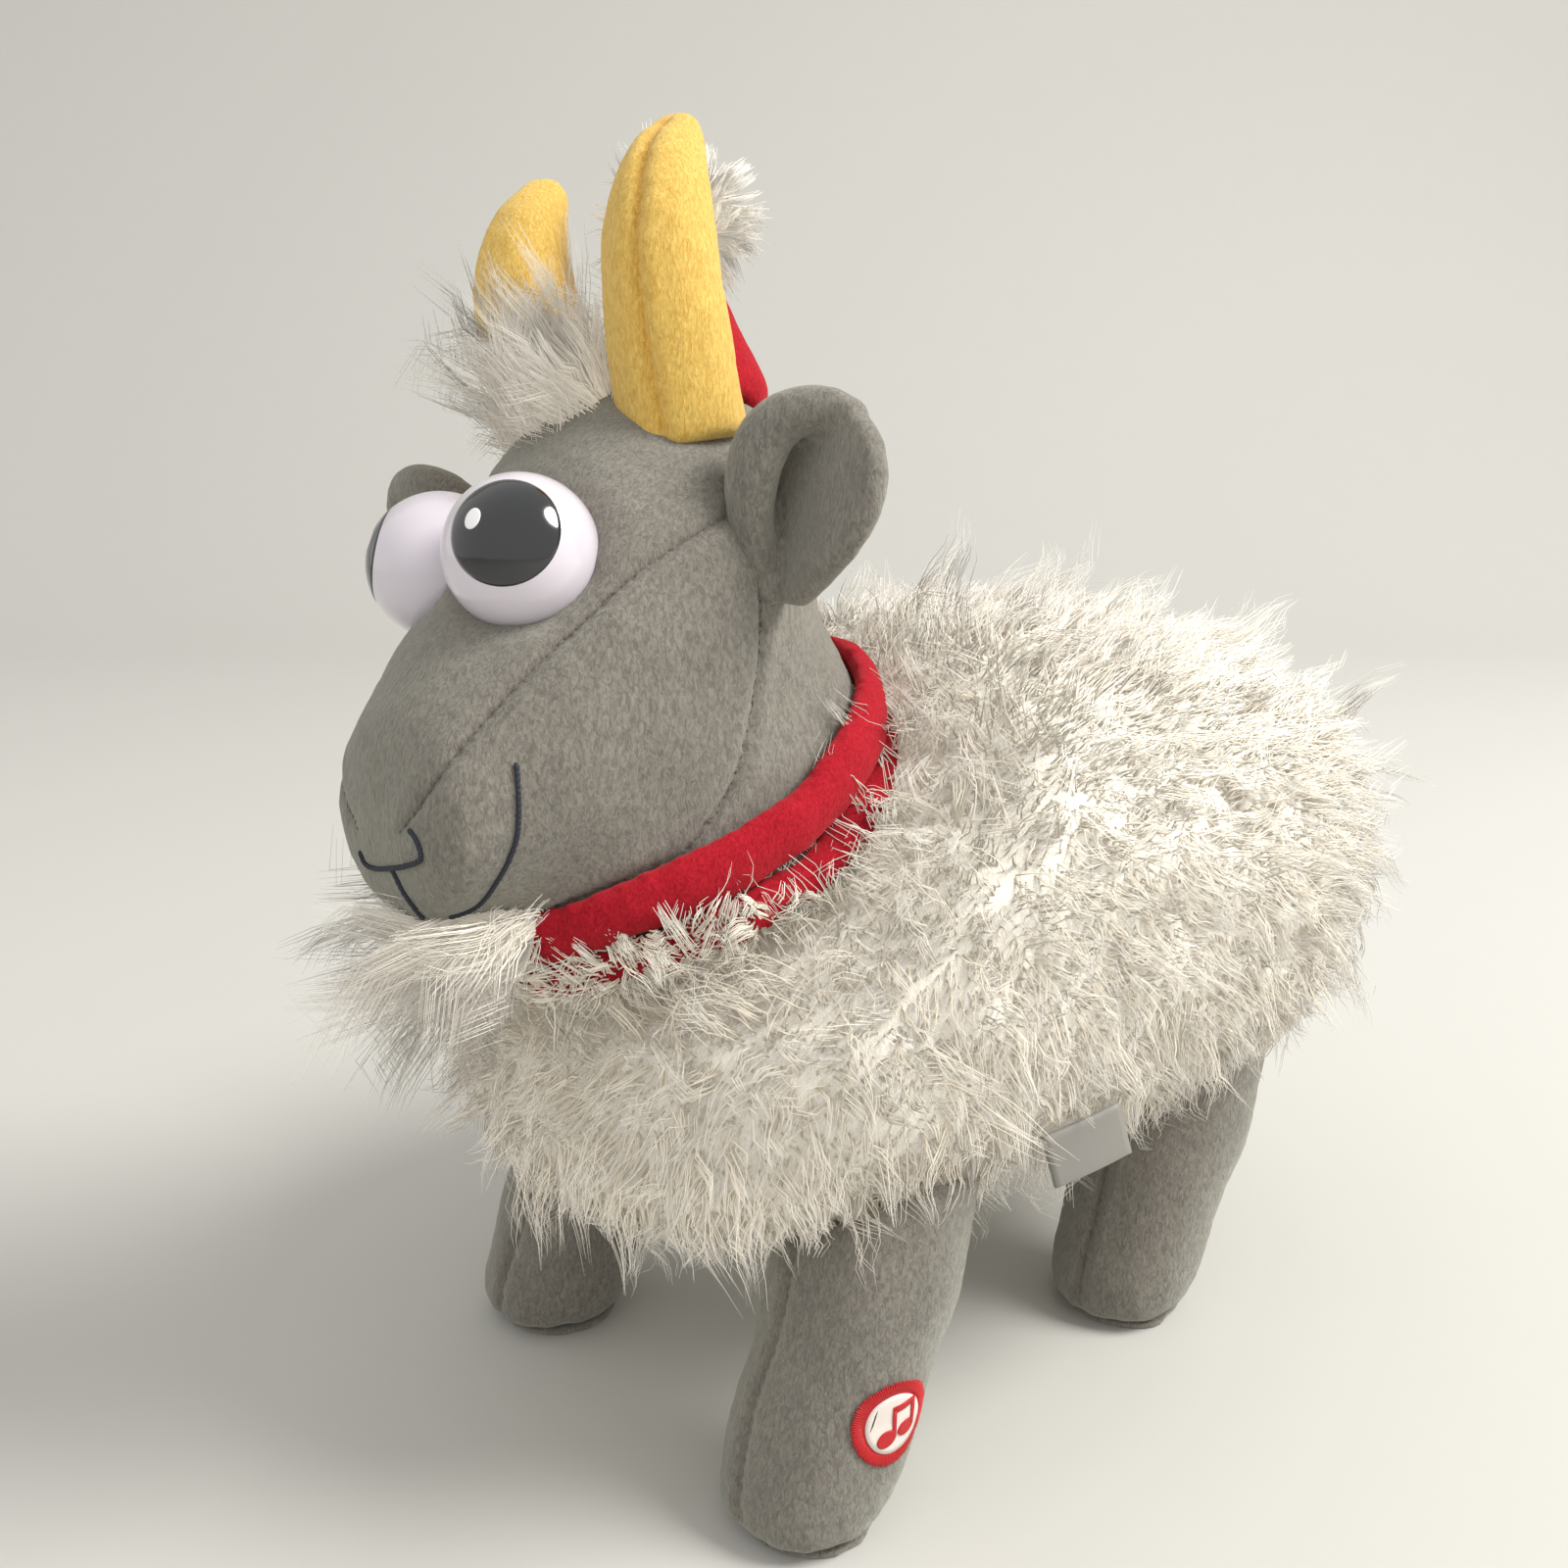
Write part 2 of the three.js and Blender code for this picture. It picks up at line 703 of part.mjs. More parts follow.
const worldHead = headRoom.clone().applyMatrix4(head.matrixWorld);
const bodyRoom = bodyForm(seamGap);
const neckRoom = neckForm(seamGap);
const rollOut = scarfRollThickness / 2 + 2 * seamGap;
const rollRise = scarfRise + scarfRollHeight / 2 + seamGap;
const rollSection = (grow) =>
  ovalSection(rollOut, rollRise, scarfRollThickness / 2 + grow, scarfRollHeight / 2 + grow, 0);
const rollRoom = neckBand(rollSection(seamGap));
add(goat, "scarf_roll", cut(neckBand(rollSection(0)), worldHead, neckRoom, bodyRoom), redPlush);

// The lower layer flares out from under the roll and presses into the shag.
const layerSection = (grow) => {
  const across = scarfLayerHeight / 2 + grow;
  const tall = scarfLayerThickness / 2 + grow;
  const middle = scarfRise - scarfLayerHeight * 0.36;
  return ovalSection(scarfLayerHeight * 0.6, middle, across, tall, -degrees(scarfFlare));
};
const layerRoom = neckBand(layerSection(seamGap));
add(goat, "scarf_layer", neckBand(layerSection(0)), redPlush);

// Beard: a tuft of shag sewn under the chin.

const chin = headAt(0.82);
const beardTop = chin.z - chin.high;
const beardStations = [
  { y: chin.y + 6, z: beardTop + 6, wide: beardWidth * 0.34, high: 11, lean: -58 },
  { x: -3, y: chin.y - 10, z: beardTop - beardReach * 0.32, wide: beardWidth * 0.54, high: 15, lean: -58 },
  { x: -8, y: chin.y - 22, z: beardTop - beardReach * 0.74, wide: beardWidth * 0.4, high: 10, lean: -60 },
];
const beard = stuffed(beardStations, { sides: 14, steps: 5, startReach: 4, endReach: 7 });
const throatRoom = inHead(neckForm(seamGap));
const scarfRooms = [rollRoom, layerRoom, bodyRoom].map(inHead);
add(head, "beard", cut(beard, headRoom, throatRoom, ...scarfRooms), whiteShag);

// Legs: soft columns that lean forward to flat oval feet.

const soleTop = soleThickness + seamGap;
const frontStance = (bodyWidth / 2) * frontStanceShare;
const rearStance = (bodyWidth / 2) * rearStanceShare;
const frontFootY = chestY + frontFootSetback;
const rearFootY = rumpY - rearFootSetback;
const legTopZ = bellyHeight + legTopInside;
const footHalf = legWidth / 2;

function legForm(kind, grow) {
  const front = kind === "front";
  const x = front ? frontStance : rearStance;
  const y = front ? frontFootY : rearFootY;
  const lean = front ? frontLegLean : rearLegLean;
  const thigh = (front ? thighWidth * 0.92 : thighWidth * 1.12) / 2;
  const knee = (footHalf + thigh) / 2;
  const at = (share) => soleTop + (legTopZ - soleTop) * share;
  const stations = [
    { x, y, z: at(0.13), wide: footHalf * 0.98, high: footHalf, lean: 90 },
    { x, y: y + lean * 0.2, z: at(0.3), wide: footHalf, high: footHalf, lean: 90 },
    { x: x + 0.5, y: y + lean * 0.55, z: at(0.56), wide: footHalf * 1.04, high: knee, lean: 88 },
    { x: x - 3, y: y + lean, z: legTopZ, wide: footHalf * 1.12, high: thigh * 1.08, lean: 86 },
  ];
  return stuffed(stations, { sides: 18, steps: 6, startReach: footRounding, grow });
}

function soleForm(x, y) {
  return turned([
    [0, 0],
    [soleDiameter / 2 - 0.6, 0],
    [soleDiameter / 2, 0.6],
    [soleDiameter / 2, soleThickness],
    [0, soleThickness],
  ], 16).translate(x, y, 0);
}

const floorRoom = block(400, 600, 60, 0, 0, soleTop - 60);

// Press switch in the front left foot, working straight in from the leg's outer side.

const badgeY = frontFootY + badgeSetback;
const badgeX = frontStance + footHalf; // where the leg is widest
const pressIn = new THREE.Matrix4().makeRotationY(Math.PI / 2);
const onLeg = (geometry) => geometry.applyMatrix4(pressIn).translate(badgeX, badgeY, badgeHeight);
const badgeWrap = badgeDiameter ** 2 / (4 * legWidth); // how far its edge curves in
const housingFace = badgeWrap + pressTravel + 2;
const housingRadius = switchDiameter / 2;
const plungerRadius = housingRadius - switchWall - slideGap - 3.4;
const flangeRadius = housingRadius - switchWall - slideGap;
const plungerLength = housingFace + switchWall + seamGap;

// Forms of the switch stand along +Z with the outer side up; z 0 is the leg's surface.
function housingForm() {
  const back = -housingFace - switchDepth;
  return turnedRing([
    [1.6, back],
    [housingRadius, back],
    [housingRadius, -housingFace],
    [plungerRadius + slideGap, -housingFace],
    [plungerRadius + slideGap, -housingFace - switchWall],
    [housingRadius - switchWall, -housingFace - switchWall],
    [housingRadius - switchWall, back + switchWall],
    [1.6, back + switchWall],
  ], 24);
}

function capForm() {
  const flangeTop = -plungerLength;
  return turned([
    [0, flangeTop - 0.4],
    [springDiameter / 2 + 1, flangeTop - 0.4],
    [springDiameter / 2 + 1, flangeTop - capWall - 0.8],
    [flangeRadius, flangeTop - capWall - 0.8],
    [flangeRadius, flangeTop],
    [plungerRadius, flangeTop],
    [plungerRadius, -seamGap - 0.8],
    [plungerRadius - 0.8, -seamGap],
    [0, -seamGap],
  ], 24);
}

const boardTop = -housingFace - switchDepth + switchWall + seamGap + contactBoardThickness;
function contactBoardForm() {
  const radius = housingRadius - switchWall - seamGap;
  const bottom = boardTop - contactBoardThickness;
  return turnedRing([[1.6, bottom], [radius, bottom], [radius, boardTop], [1.6, boardTop]], 16);
}

function springForm() {
  const low = boardTop + seamGap + springWire / 2;
  const high = -plungerLength - 0.4 - seamGap - springWire / 2;
  const radius = (springDiameter - springWire) / 2;
  const count = Math.round(springTurns * 8);
  const rings = [];
  for (let k = 0; k <= count; k++) {
    const turn = (k / count) * springTurns * Math.PI * 2;
    const z = low + ((high - low) * k) / count;
    const out = new THREE.Vector3(Math.cos(turn), Math.sin(turn), 0);
    const ring = [];
    for (let c = 0; c < 6; c++) {
      const corner = (c / 6) * Math.PI * 2;
      const reach = radius + (springWire / 2) * Math.cos(corner);
      ring.push(out.clone().multiplyScalar(reach).setZ(z + (springWire / 2) * Math.sin(corner)));
    }
    rings.push(ring);
  }
  return loft(rings);
}

// The patch wraps the leg: the skin between two sizes of the leg, inside the badge outline.
function badgeForm() {
  const disc = onLeg(bar(badgeDiameter, 16, 0, 0, -8, 24));
  const outer = solid(legForm("front", seamGap + badgeThickness));
  const patch = outer.subtract(solid(legForm("front", seamGap))).intersect(solid(disc));
  return geometryOf(patch);
}

const housingBack = -housingFace - switchDepth;
const badgeRoom = bar(badgeDiameter + 2 * slideGap, housingFace + 12, 0, 0, -housingFace - seamGap, 24);
const housingRoomDepth = switchDepth + 2 * seamGap;
const housingRoom = bar(switchDiameter + 2 * seamGap, housingRoomDepth, 0, 0, housingBack - seamGap, 24);
const switchRoom = [onLeg(badgeRoom), onLeg(housingRoom)];

// Sound module in the belly. Its own z 0 is the outer face of the flange.

const moduleY = chestY + caseSetback;
const moduleZ = bellyHeight + moduleSunk;
const soundModule = new THREE.Group();
soundModule.position.set(0, moduleY, moduleZ);
goat.add(soundModule);

const caseTop = caseDepth - coverThickness;
const coverUnder = caseTop + seamGap;
const cellPitch = cellDiameter + cellClearance;
const bayWidth = cellLength + 2 * (contactThickness + 2 * seamGap);
const bayLength = cellCount * cellPitch + cellClearance;
const bayFront = -caseLength / 2 + caseWall + doorTabReach + doorLap + 0.5;
const bayBack = bayFront + bayLength;
const bayMiddle = (bayFront + bayBack) / 2;
const cellZ = doorThickness + 2 * seamGap + cellDiameter / 2;
const bayTop = cellZ + cellDiameter / 2 + 2 * seamGap;
const floorTop = bayTop + caseWall; // parts the battery bay from the electronics
const screwLand = screwHeadDiameter + 5;
const doorFront = bayFront - doorLap;
const doorBack = bayBack + screwLand;
const doorMiddle = (doorFront + doorBack) / 2;
const doorWidth = bayWidth + 2 * doorLap;
const doorScrewY = bayBack + screwLand / 2;
const tabX = doorWidth / 2 - doorTabWidth;
const tabThickness = 1.2;
const screwX = (caseWidth - bossDiameter) / 2 - caseWall + 0.4;
const screwY = (caseLength - bossDiameter) / 2 - caseWall + 0.4;
const screwHole = screwDiameter + 2 * seamGap;
const corners = [[1, 1], [-1, 1], [-1, -1], [1, -1]];
const knobY = (doorBack + caseLength / 2) / 2;
const knobStem = 2.4;
const leadX = 18;
const leadZ = floorTop + 9;

function caseBodyForm() {
  const flangeLength = caseLength + 2 * flangeWidth;
  const flangeAcross = caseWidth + 2 * flangeWidth;
  const flange = roundedPlate(flangeAcross, flangeLength, caseCorner + flangeWidth, flangeThickness);
  const walls = roundedPlate(caseWidth, caseLength, caseCorner, caseTop);
  const insideWidth = caseWidth - 2 * caseWall;
  const insideLength = caseLength - 2 * caseWall;
  const inside = roundedPlate(insideWidth, insideLength, caseCorner - caseWall, caseTop);
  const wellFront = doorBack + caseWall;
  const wellLength = insideLength / 2 - wellFront;
  const well = block(insideWidth, wellLength, floorTop, 0, wellFront + wellLength / 2, caseWall);
  let shape = solid(flange).add(solid(walls));
  shape = shape.subtract(solid(inside.translate(0, 0, floorTop))).subtract(solid(well));
  for (const [sx, sy] of corners) {
    const boss = bar(bossDiameter, caseTop - floorTop + 1, sx * screwX, sy * screwY, floorTop - 1);
    shape = shape.add(solid(boss));
  }
  const recessWidth = doorWidth + 2 * seamGap;
  const recessLength = doorBack - doorFront + 2 * seamGap;
  const slotLength = knobLength + knobTravel + 2 * slideGap;
  const leadHole = bar(leadDiameter + 2 * seamGap, 3 * caseWall, 0, 0, 0, 12);
  const holes = [
    block(bayWidth, bayLength, bayTop + 9, 0, bayMiddle, -9),
    block(recessWidth, recessLength, doorThickness + 9, 0, doorMiddle, seamGap - 9),
    bar(screwDiameter + 1, doorScrewLength + 2, 0, doorScrewY, 0),
    block(slotLength, knobWidth + 2 * slideGap, caseWall + 2, 0, knobY, -1),
    leadHole.rotateX(Math.PI / 2).translate(leadX, 2 * caseWall - caseLength / 2, leadZ),
  ];
  const tabRoomFront = doorFront - doorTabReach - 0.5;
  const tabRoomLength = bayFront + 0.1 - tabRoomFront;
  const tabRoomY = tabRoomFront + tabRoomLength / 2;
  for (const side of [-1, 1]) {
    holes.push(block(doorTabWidth + 1, tabRoomLength, 5, side * tabX, tabRoomY, doorThickness - 0.4));
  }
  for (const [sx, sy] of corners) {
    holes.push(bar(screwHole, caseScrewLength, sx * screwX, sy * screwY, caseTop - caseScrewLength + 1));
  }
  for (const hole of holes) shape = shape.subtract(solid(hole));
  return geometryOf(shape);
}

function caseCoverForm() {
  const ringInner = speakerDiameter / 2 + slideGap;
  const ringOuter = ringInner + 1.6;
  const plate = roundedPlate(caseWidth, caseLength, caseCorner, coverThickness - seamGap);
  const ring = turnedRing([
    [ringInner, coverUnder - 3],
    [ringOuter, coverUnder - 3],
    [ringOuter, coverUnder + 0.5],
    [ringInner, coverUnder + 0.5],
  ]);
  let shape = solid(plate.translate(0, 0, coverUnder)).add(solid(ring));
  for (let k = 0; k < slotCount; k++) {
    const y = (k - (slotCount - 1) / 2) * slotPitch;
    const reach = Math.sqrt(Math.max(4, (speakerDiameter / 2 - 3) ** 2 - y ** 2));
    shape = shape.subtract(solid(block(2 * reach, slotWidth, coverThickness + 2, 0, y, coverUnder - 1)));
  }
  for (const [sx, sy] of corners) {
    const hole = bar(screwHole, coverThickness + 4, sx * screwX, sy * screwY, coverUnder - 2);
    shape = shape.subtract(solid(hole));
  }
  return geometryOf(shape);
}

// Pan-head screw that points down, z 0 under its head.
function screwForm(length) {
  return turned([
    [0, -length],
    [screwDiameter * 0.32, -length],
    [screwDiameter / 2, -length + 1.2],
    [screwDiameter / 2, 0],
    [screwHeadDiameter / 2, 0],
    [screwHeadDiameter / 2, screwHeadHeight * 0.6],
    [screwHeadDiameter * 0.3, screwHeadHeight],
    [0, screwHeadHeight],
  ], 8);
}

const doorSink = doorThickness - 0.8; // the screw head sits this deep in the door

function batteryDoorForm() {
  const plate = roundedPlate(doorWidth, doorBack - doorFront, 1.5, doorThickness);
  let shape = solid(plate.translate(0, doorMiddle, 0));
  for (const side of [-1, 1]) {
    const x = side * tabX;
    const tabLength = doorTabReach + 2.6;
    const tabY = doorFront + (2.6 - doorTabReach) / 2;
    const tab = block(doorTabWidth, tabLength, tabThickness, x, tabY, doorThickness);
    shape = shape.add(solid(tab.translate(0, 0, -0.05)));
  }
  for (let k = -2; k <= 2; k++) {
    shape = shape.subtract(solid(block(bayWidth * 0.4, 1.1, 0.6, 0, bayMiddle + k * 2.6, -0.1)));
  }
  const sink = bar(screwHeadDiameter + 2 * seamGap, doorSink + 1, 0, doorScrewY, -1);
  const hole = bar(screwHole, doorThickness + 2, 0, doorScrewY, -1);
  return geometryOf(shape.subtract(solid(sink)).subtract(solid(hole)));
}

// Cell lying along X, its terminal towards the given side.
function cellForm(side) {
  const shoulder = cellLength / 2 - terminalHeight;
  const profile = [
    [0, -cellLength / 2],
    [cellDiameter / 2 - 0.5, -cellLength / 2],
    [cellDiameter / 2, -cellLength / 2 + 0.5],
    [cellDiameter / 2, shoulder - 0.4],
    [cellDiameter / 2 - 0.4, shoulder],
    [terminalDiameter / 2, shoulder],
    [terminalDiameter / 2, cellLength / 2],
    [0, cellLength / 2],
  ];
  return turned(profile, 14).rotateY((side * Math.PI) / 2);
}

const speakerTop = coverUnder - seamGap;
const speakerBack = speakerTop - speakerDepth;
const magnetRadius = magnetDiameter / 2;

function speakerFrameForm() {
  const radius = speakerDiameter / 2;
  return turned([
    [0, speakerBack],
    [magnetRadius + 1, speakerBack],
    [magnetRadius + 2.5, speakerBack + 1],
    [radius, speakerTop - speakerRim],
    [radius, speakerTop],
    [radius - 1.6, speakerTop],
    [radius - 1.6, speakerTop - 1.6],
    [magnetRadius + 1.2, speakerBack + 2],
    [0, speakerBack + 1.2],
  ]);
}

function speakerConeForm() {
  const edge = speakerDiameter / 2 - 1.6 - seamGap;
  return turned([
    [0, speakerBack + 3.6],
    [3, speakerBack + 3.2],
    [5.5, speakerBack + 2],
    [6.5, speakerBack + 2],
    [edge - 1.3, speakerTop - 1.5],
    [edge, speakerTop - 1.3],
    [edge, speakerTop - 0.8],
    [edge - 1.6, speakerTop - 0.8],
    [6.4, speakerBack + 2.7],
    [5.8, speakerBack + 2.7],
    [3.2, speakerBack + 3.8],
    [0, speakerBack + 4.2],
  ], 16);
}

add(soundModule, "case_body", caseBodyForm(), whiteNylon);
add(soundModule, "case_cover", caseCoverForm(), whiteNylon);
add(soundModule, "battery_door", batteryDoorForm(), whiteNylon);
add(soundModule, "speaker_frame", speakerFrameForm(), springSteel);
add(soundModule, "speaker_cone", speakerConeForm(), coneBlack);
const magnetForm = bar(magnetDiameter, magnetThickness, 0, 0, speakerBack - seamGap - magnetThickness, 20);
add(soundModule, "speaker_magnet", magnetForm, springSteel);

const boardWidth = caseWidth - 2 * caseWall - 6;
const boardLength = bayLength - 2;
const boardForm = block(boardWidth, boardLength, boardThickness, 0, bayMiddle + 3, floorTop + seamGap);
add(soundModule, "circuit_board", boardForm, boardGreen);

for (let k = 0; k < cellCount; k++) {
  const cell = add(soundModule, `battery_${k + 1}`, cellForm(k % 2 ? -1 : 1), cellSleeve);
  cell.position.set(0, bayFront + cellClearance + cellDiameter / 2 + k * cellPitch, cellZ);
}
for (const [name, side] of [["left", 1], ["right", -1]]) {
  const x = side * (cellLength / 2 + seamGap + contactThickness / 2);
  const low = cellZ - cellDiameter / 2;
  const plate = block(contactThickness, bayLength - 2 * seamGap, cellDiameter, x, bayMiddle, low);
  add(soundModule, `contact_plate_${name}`, plate, springSteel);
}

corners.forEach(([sx, sy], k) => {
  const screw = add(soundModule, `case_screw_${k + 1}`, screwForm(caseScrewLength), springSteel);
  screw.position.set(sx * screwX, sy * screwY, caseDepth + seamGap);
});
const doorScrew = add(soundModule, "door_screw", screwForm(doorScrewLength), springSteel);
doorScrew.rotation.x = Math.PI;
doorScrew.position.set(0, doorScrewY, doorSink - seamGap);

const switchCanHeight = 5;
const canFloor = caseWall + seamGap;
const stemTop = canFloor + switchCanHeight - 1.6;
const can = block(knobLength + knobTravel + 4, knobStem + 4, switchCanHeight, 0, knobY, canFloor);
const stemSlot = block(
  knobStem + knobTravel + 2 * slideGap,
  knobStem + 2 * slideGap,
  stemTop + seamGap,
  0,
  knobY,
  0,
);
add(soundModule, "power_switch", cut(can, stemSlot), springSteel);
const thumb = block(knobLength, knobWidth, caseWall - 0.4, 0, knobY, 0.4);
const ridge = block(1, knobWidth, 0.5, 0, knobY, 0);
const stem = block(knobStem, knobStem, stemTop - 1, 0, knobY, 1);
add(soundModule, "power_knob", joined(thumb, ridge, stem), blackPlastic);

// Lead from the foot switch, up the leg and back to the module's front wall.

const leadStart = new THREE.Vector3(badgeX - housingFace - switchDepth + 1, badgeY, badgeHeight);
const caseFace = moduleY - caseLength / 2;
const leadHeight = moduleZ + leadZ;
const leadRoute = [
  leadStart,
  leadStart.clone().add(new THREE.Vector3(-3, 0, 0)),
  new THREE.Vector3(frontStance - 3, badgeY + 2, badgeHeight + 7),
  new THREE.Vector3(frontStance - 4, badgeY + 10, badgeHeight + 22),
  new THREE.Vector3(frontStance - 7, badgeY + 17, bellyHeight + 2),
  new THREE.Vector3(frontStance - 12, badgeY + 24, leadHeight - 8),
  new THREE.Vector3((frontStance + leadX) / 2 - 2, caseFace - 12, leadHeight),
  new THREE.Vector3(leadX + 1, caseFace - 7, leadHeight),
  new THREE.Vector3(leadX, caseFace - 3, leadHeight),
  new THREE.Vector3(leadX, caseFace + caseWall + 1, leadHeight),
];

function leadForm(diameter) {
  const path = new THREE.CatmullRomCurve3(leadRoute, false, "centripetal");
  const section = new THREE.Shape();
  for (let c = 0; c < 8; c++) {
    const corner = ((c + 0.5) / 8) * Math.PI * 2;
    const x = (diameter / 2) * Math.cos(corner);
    const y = (diameter / 2) * Math.sin(corner);
    if (c === 0) section.moveTo(x, y);
    else section.lineTo(x, y);
  }
  section.closePath();
  return new THREE.ExtrudeGeometry(section, { steps: 20, bevelEnabled: false, extrudePath: path });
}
add(goat, "switch_lead", leadForm(leadDiameter), leadRed);
const leadRoom = leadForm(leadDiameter + 2 * seamGap);

// Body with its pocket for the module.

const moduleRoom = [
  roundedPlate(
    caseWidth + 2 * (flangeWidth + seamGap),
    caseLength + 2 * (flangeWidth + seamGap),
    caseCorner + flangeWidth,
    flangeThickness + seamGap + 60,
  ).translate(0, moduleY, moduleZ - 60),
  roundedPlate(
    caseWidth + 2 * seamGap,
    caseLength + 2 * seamGap,
    caseCorner,
    caseDepth + screwHeadHeight + 2 * seamGap,
  ).translate(0, moduleY, moduleZ),
];
add(goat, "body", cut(bodyForm(0), ...moduleRoom, leadRoom, layerRoom), whiteShag);

// Legs, soles and the foot switch.

for (const kind of ["front", "rear"]) {
  const x = kind === "front" ? frontStance : rearStance;
  const y = kind === "front" ? frontFootY : rearFootY;
  const trimmed = cut(legForm(kind, 0), bodyRoom, floorRoom);
  const wired = kind === "front" ? cut(trimmed, ...switchRoom, leadRoom) : trimmed;
  add(goat, `${kind}_left_leg`, wired, greyPlush);
  add(goat, `${kind}_right_leg`, mirrored(trimmed), greyPlush);
  add(goat, `${kind}_left_sole`, soleForm(x, y), greyPlush);
  add(goat, `${kind}_right_sole`, soleForm(-x, y), greyPlush);
}
add(goat, "switch_housing", onLeg(housingForm()), whiteNylon);
add(goat, "contact_board", onLeg(contactBoardForm()), boardGreen);
add(goat, "button_spring", onLeg(springForm()), springSteel);
// The cap's outer face follows the leg under the badge.
const cap = solid(onLeg(capForm())).intersect(solid(legForm("front", 0)));
add(goat, "button_cap", geometryOf(cap), blackPlastic);
add(goat, "badge", badgeForm(), redThread);

// Tail and side tag.

const tailStations = [
  { y: rumpY - 18, z: bodyMidZ + 24, wide: tailWidth * 0.4, high: 8, lean: -24 },
  { y: rumpY - 18 + tailLength * 0.5, z: bodyMidZ + 31, wide: tailWidth * 0.5, high: 9, lean: -20 },
  { y: rumpY - 18 + tailLength * 0.8, z: bodyMidZ + 34, wide: tailWidth * 0.36, high: 6, lean: -10 },
];
const tail = stuffed(tailStations, { sides: 12, steps: 4, endReach: 6 });
add(goat, "tail", cut(tail, bodyRoom), whiteShag);

const tagX = bodyWidth * 0.39;
const tagBlock = new THREE.BoxGeometry(16, tagLength, tagWidth);
tagBlock.rotateX(degrees(tagRise)).rotateY(degrees(tagTilt));
tagBlock.translate(tagX, chestY + tagSetback, bellyHeight + tagAboveBelly);
const tagSkin = solid(bodyForm(seamGap + tagThickness)).subtract(solid(bodyRoom));
add(goat, "side_tag", geometryOf(tagSkin.intersect(solid(tagBlock))), greySatin);

// Stands on the floor, centred over it.
goat.updateMatrixWorld(true);
const extent = new THREE.Box3().setFromObject(goat, true);
const middle = extent.getCenter(new THREE.Vector3());
goat.position.set(-middle.x, -middle.y, -extent.min.z);

export default goat;
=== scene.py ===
import math

import bmesh
import bpy
import numpy as np
from mathutils import Matrix, Vector, noise
from mathutils.bvhtree import BVHTree


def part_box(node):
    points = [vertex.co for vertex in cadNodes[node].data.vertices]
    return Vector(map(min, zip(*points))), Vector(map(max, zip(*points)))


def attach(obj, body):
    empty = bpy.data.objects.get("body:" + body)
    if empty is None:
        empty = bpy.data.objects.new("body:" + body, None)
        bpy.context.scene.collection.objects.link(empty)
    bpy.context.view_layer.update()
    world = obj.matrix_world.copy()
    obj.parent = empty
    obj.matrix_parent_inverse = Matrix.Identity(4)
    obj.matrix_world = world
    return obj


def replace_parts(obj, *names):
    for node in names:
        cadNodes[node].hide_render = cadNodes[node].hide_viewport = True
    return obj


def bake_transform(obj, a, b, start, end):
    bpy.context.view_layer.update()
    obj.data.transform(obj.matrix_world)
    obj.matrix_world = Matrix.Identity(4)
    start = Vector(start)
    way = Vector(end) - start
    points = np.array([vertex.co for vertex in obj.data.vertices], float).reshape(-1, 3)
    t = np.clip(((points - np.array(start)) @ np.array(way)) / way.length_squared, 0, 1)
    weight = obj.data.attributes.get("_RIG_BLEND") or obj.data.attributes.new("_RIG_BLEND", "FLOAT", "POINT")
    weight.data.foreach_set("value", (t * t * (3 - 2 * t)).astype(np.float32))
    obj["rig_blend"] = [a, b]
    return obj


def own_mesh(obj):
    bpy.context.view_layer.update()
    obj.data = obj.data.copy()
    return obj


# Sizes in the dictionaries are millimetres unless a note says otherwise.
mm = 0.001
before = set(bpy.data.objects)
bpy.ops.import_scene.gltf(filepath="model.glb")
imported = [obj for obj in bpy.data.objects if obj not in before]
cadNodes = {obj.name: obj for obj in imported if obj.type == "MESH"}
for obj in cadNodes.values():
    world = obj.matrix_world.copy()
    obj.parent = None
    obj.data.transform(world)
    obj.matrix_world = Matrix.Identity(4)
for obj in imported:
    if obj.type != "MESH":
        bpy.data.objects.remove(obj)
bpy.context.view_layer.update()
scene = bpy.context.scene
print("frame loaded", len(cadNodes), "nodes")


# helpers for node trees, meshes and finished pieces
def setInputs(tree, node, inputs):
    # links an input to a socket or gives it a plain value
    for key, value in inputs.items():
        if isinstance(value, bpy.types.NodeSocket):
            tree.links.new(value, node.inputs[key])
        else:
            node.inputs[key].default_value = value


def put(tree, kind, inputs=None, out=0, **settings):
    # adds a node and returns one output, or the node itself when out is None
    node = tree.nodes.new(kind)
    for name, value in settings.items():
        setattr(node, name, value)
    setInputs(tree, node, inputs or {})
    return node if out is None or not node.outputs else node.outputs[out]


def colour(red, green, blue):
    # display colour 0-255 to the linear one Blender keeps
    linear = [(c / 255 / 12.92) if c / 255 <= 0.04045 else ((c / 255 + 0.055) / 1.055) ** 2.4
              for c in (red, green, blue)]
    return (*linear, 1.0)


def addPiece(name, points, faces, smooth=True):
    mesh = bpy.data.meshes.new(name)
    mesh.from_pydata([tuple(p) for p in points], [], [tuple(f) for f in faces])
    mesh.validate()
    piece = bpy.data.objects.new(name, mesh)
    scene.collection.objects.link(piece)
    if smooth:
        mesh.shade_smooth()
    return piece


def settle(piece):
    # turns the evaluated piece into its plain mesh
    bpy.context.view_layer.update()
    graph = bpy.context.evaluated_depsgraph_get()
    mesh = bpy.data.meshes.new_from_object(piece.evaluated_get(graph))
    old = piece.data
    piece.modifiers.clear()
    piece.data = mesh
    bpy.data.meshes.remove(old)


def runTree(piece, tree, values):
    # gives the piece a node tree with these inputs and keeps what the tree makes
    names = {item.name: item.identifier for item in tree.interface.items_tree if item.in_out == "INPUT"}
    modifier = piece.modifiers.new(tree.name, "NODES")
    modifier.node_group = tree
    for key, value in values.items():
        modifier[names[key]] = value
    settle(piece)


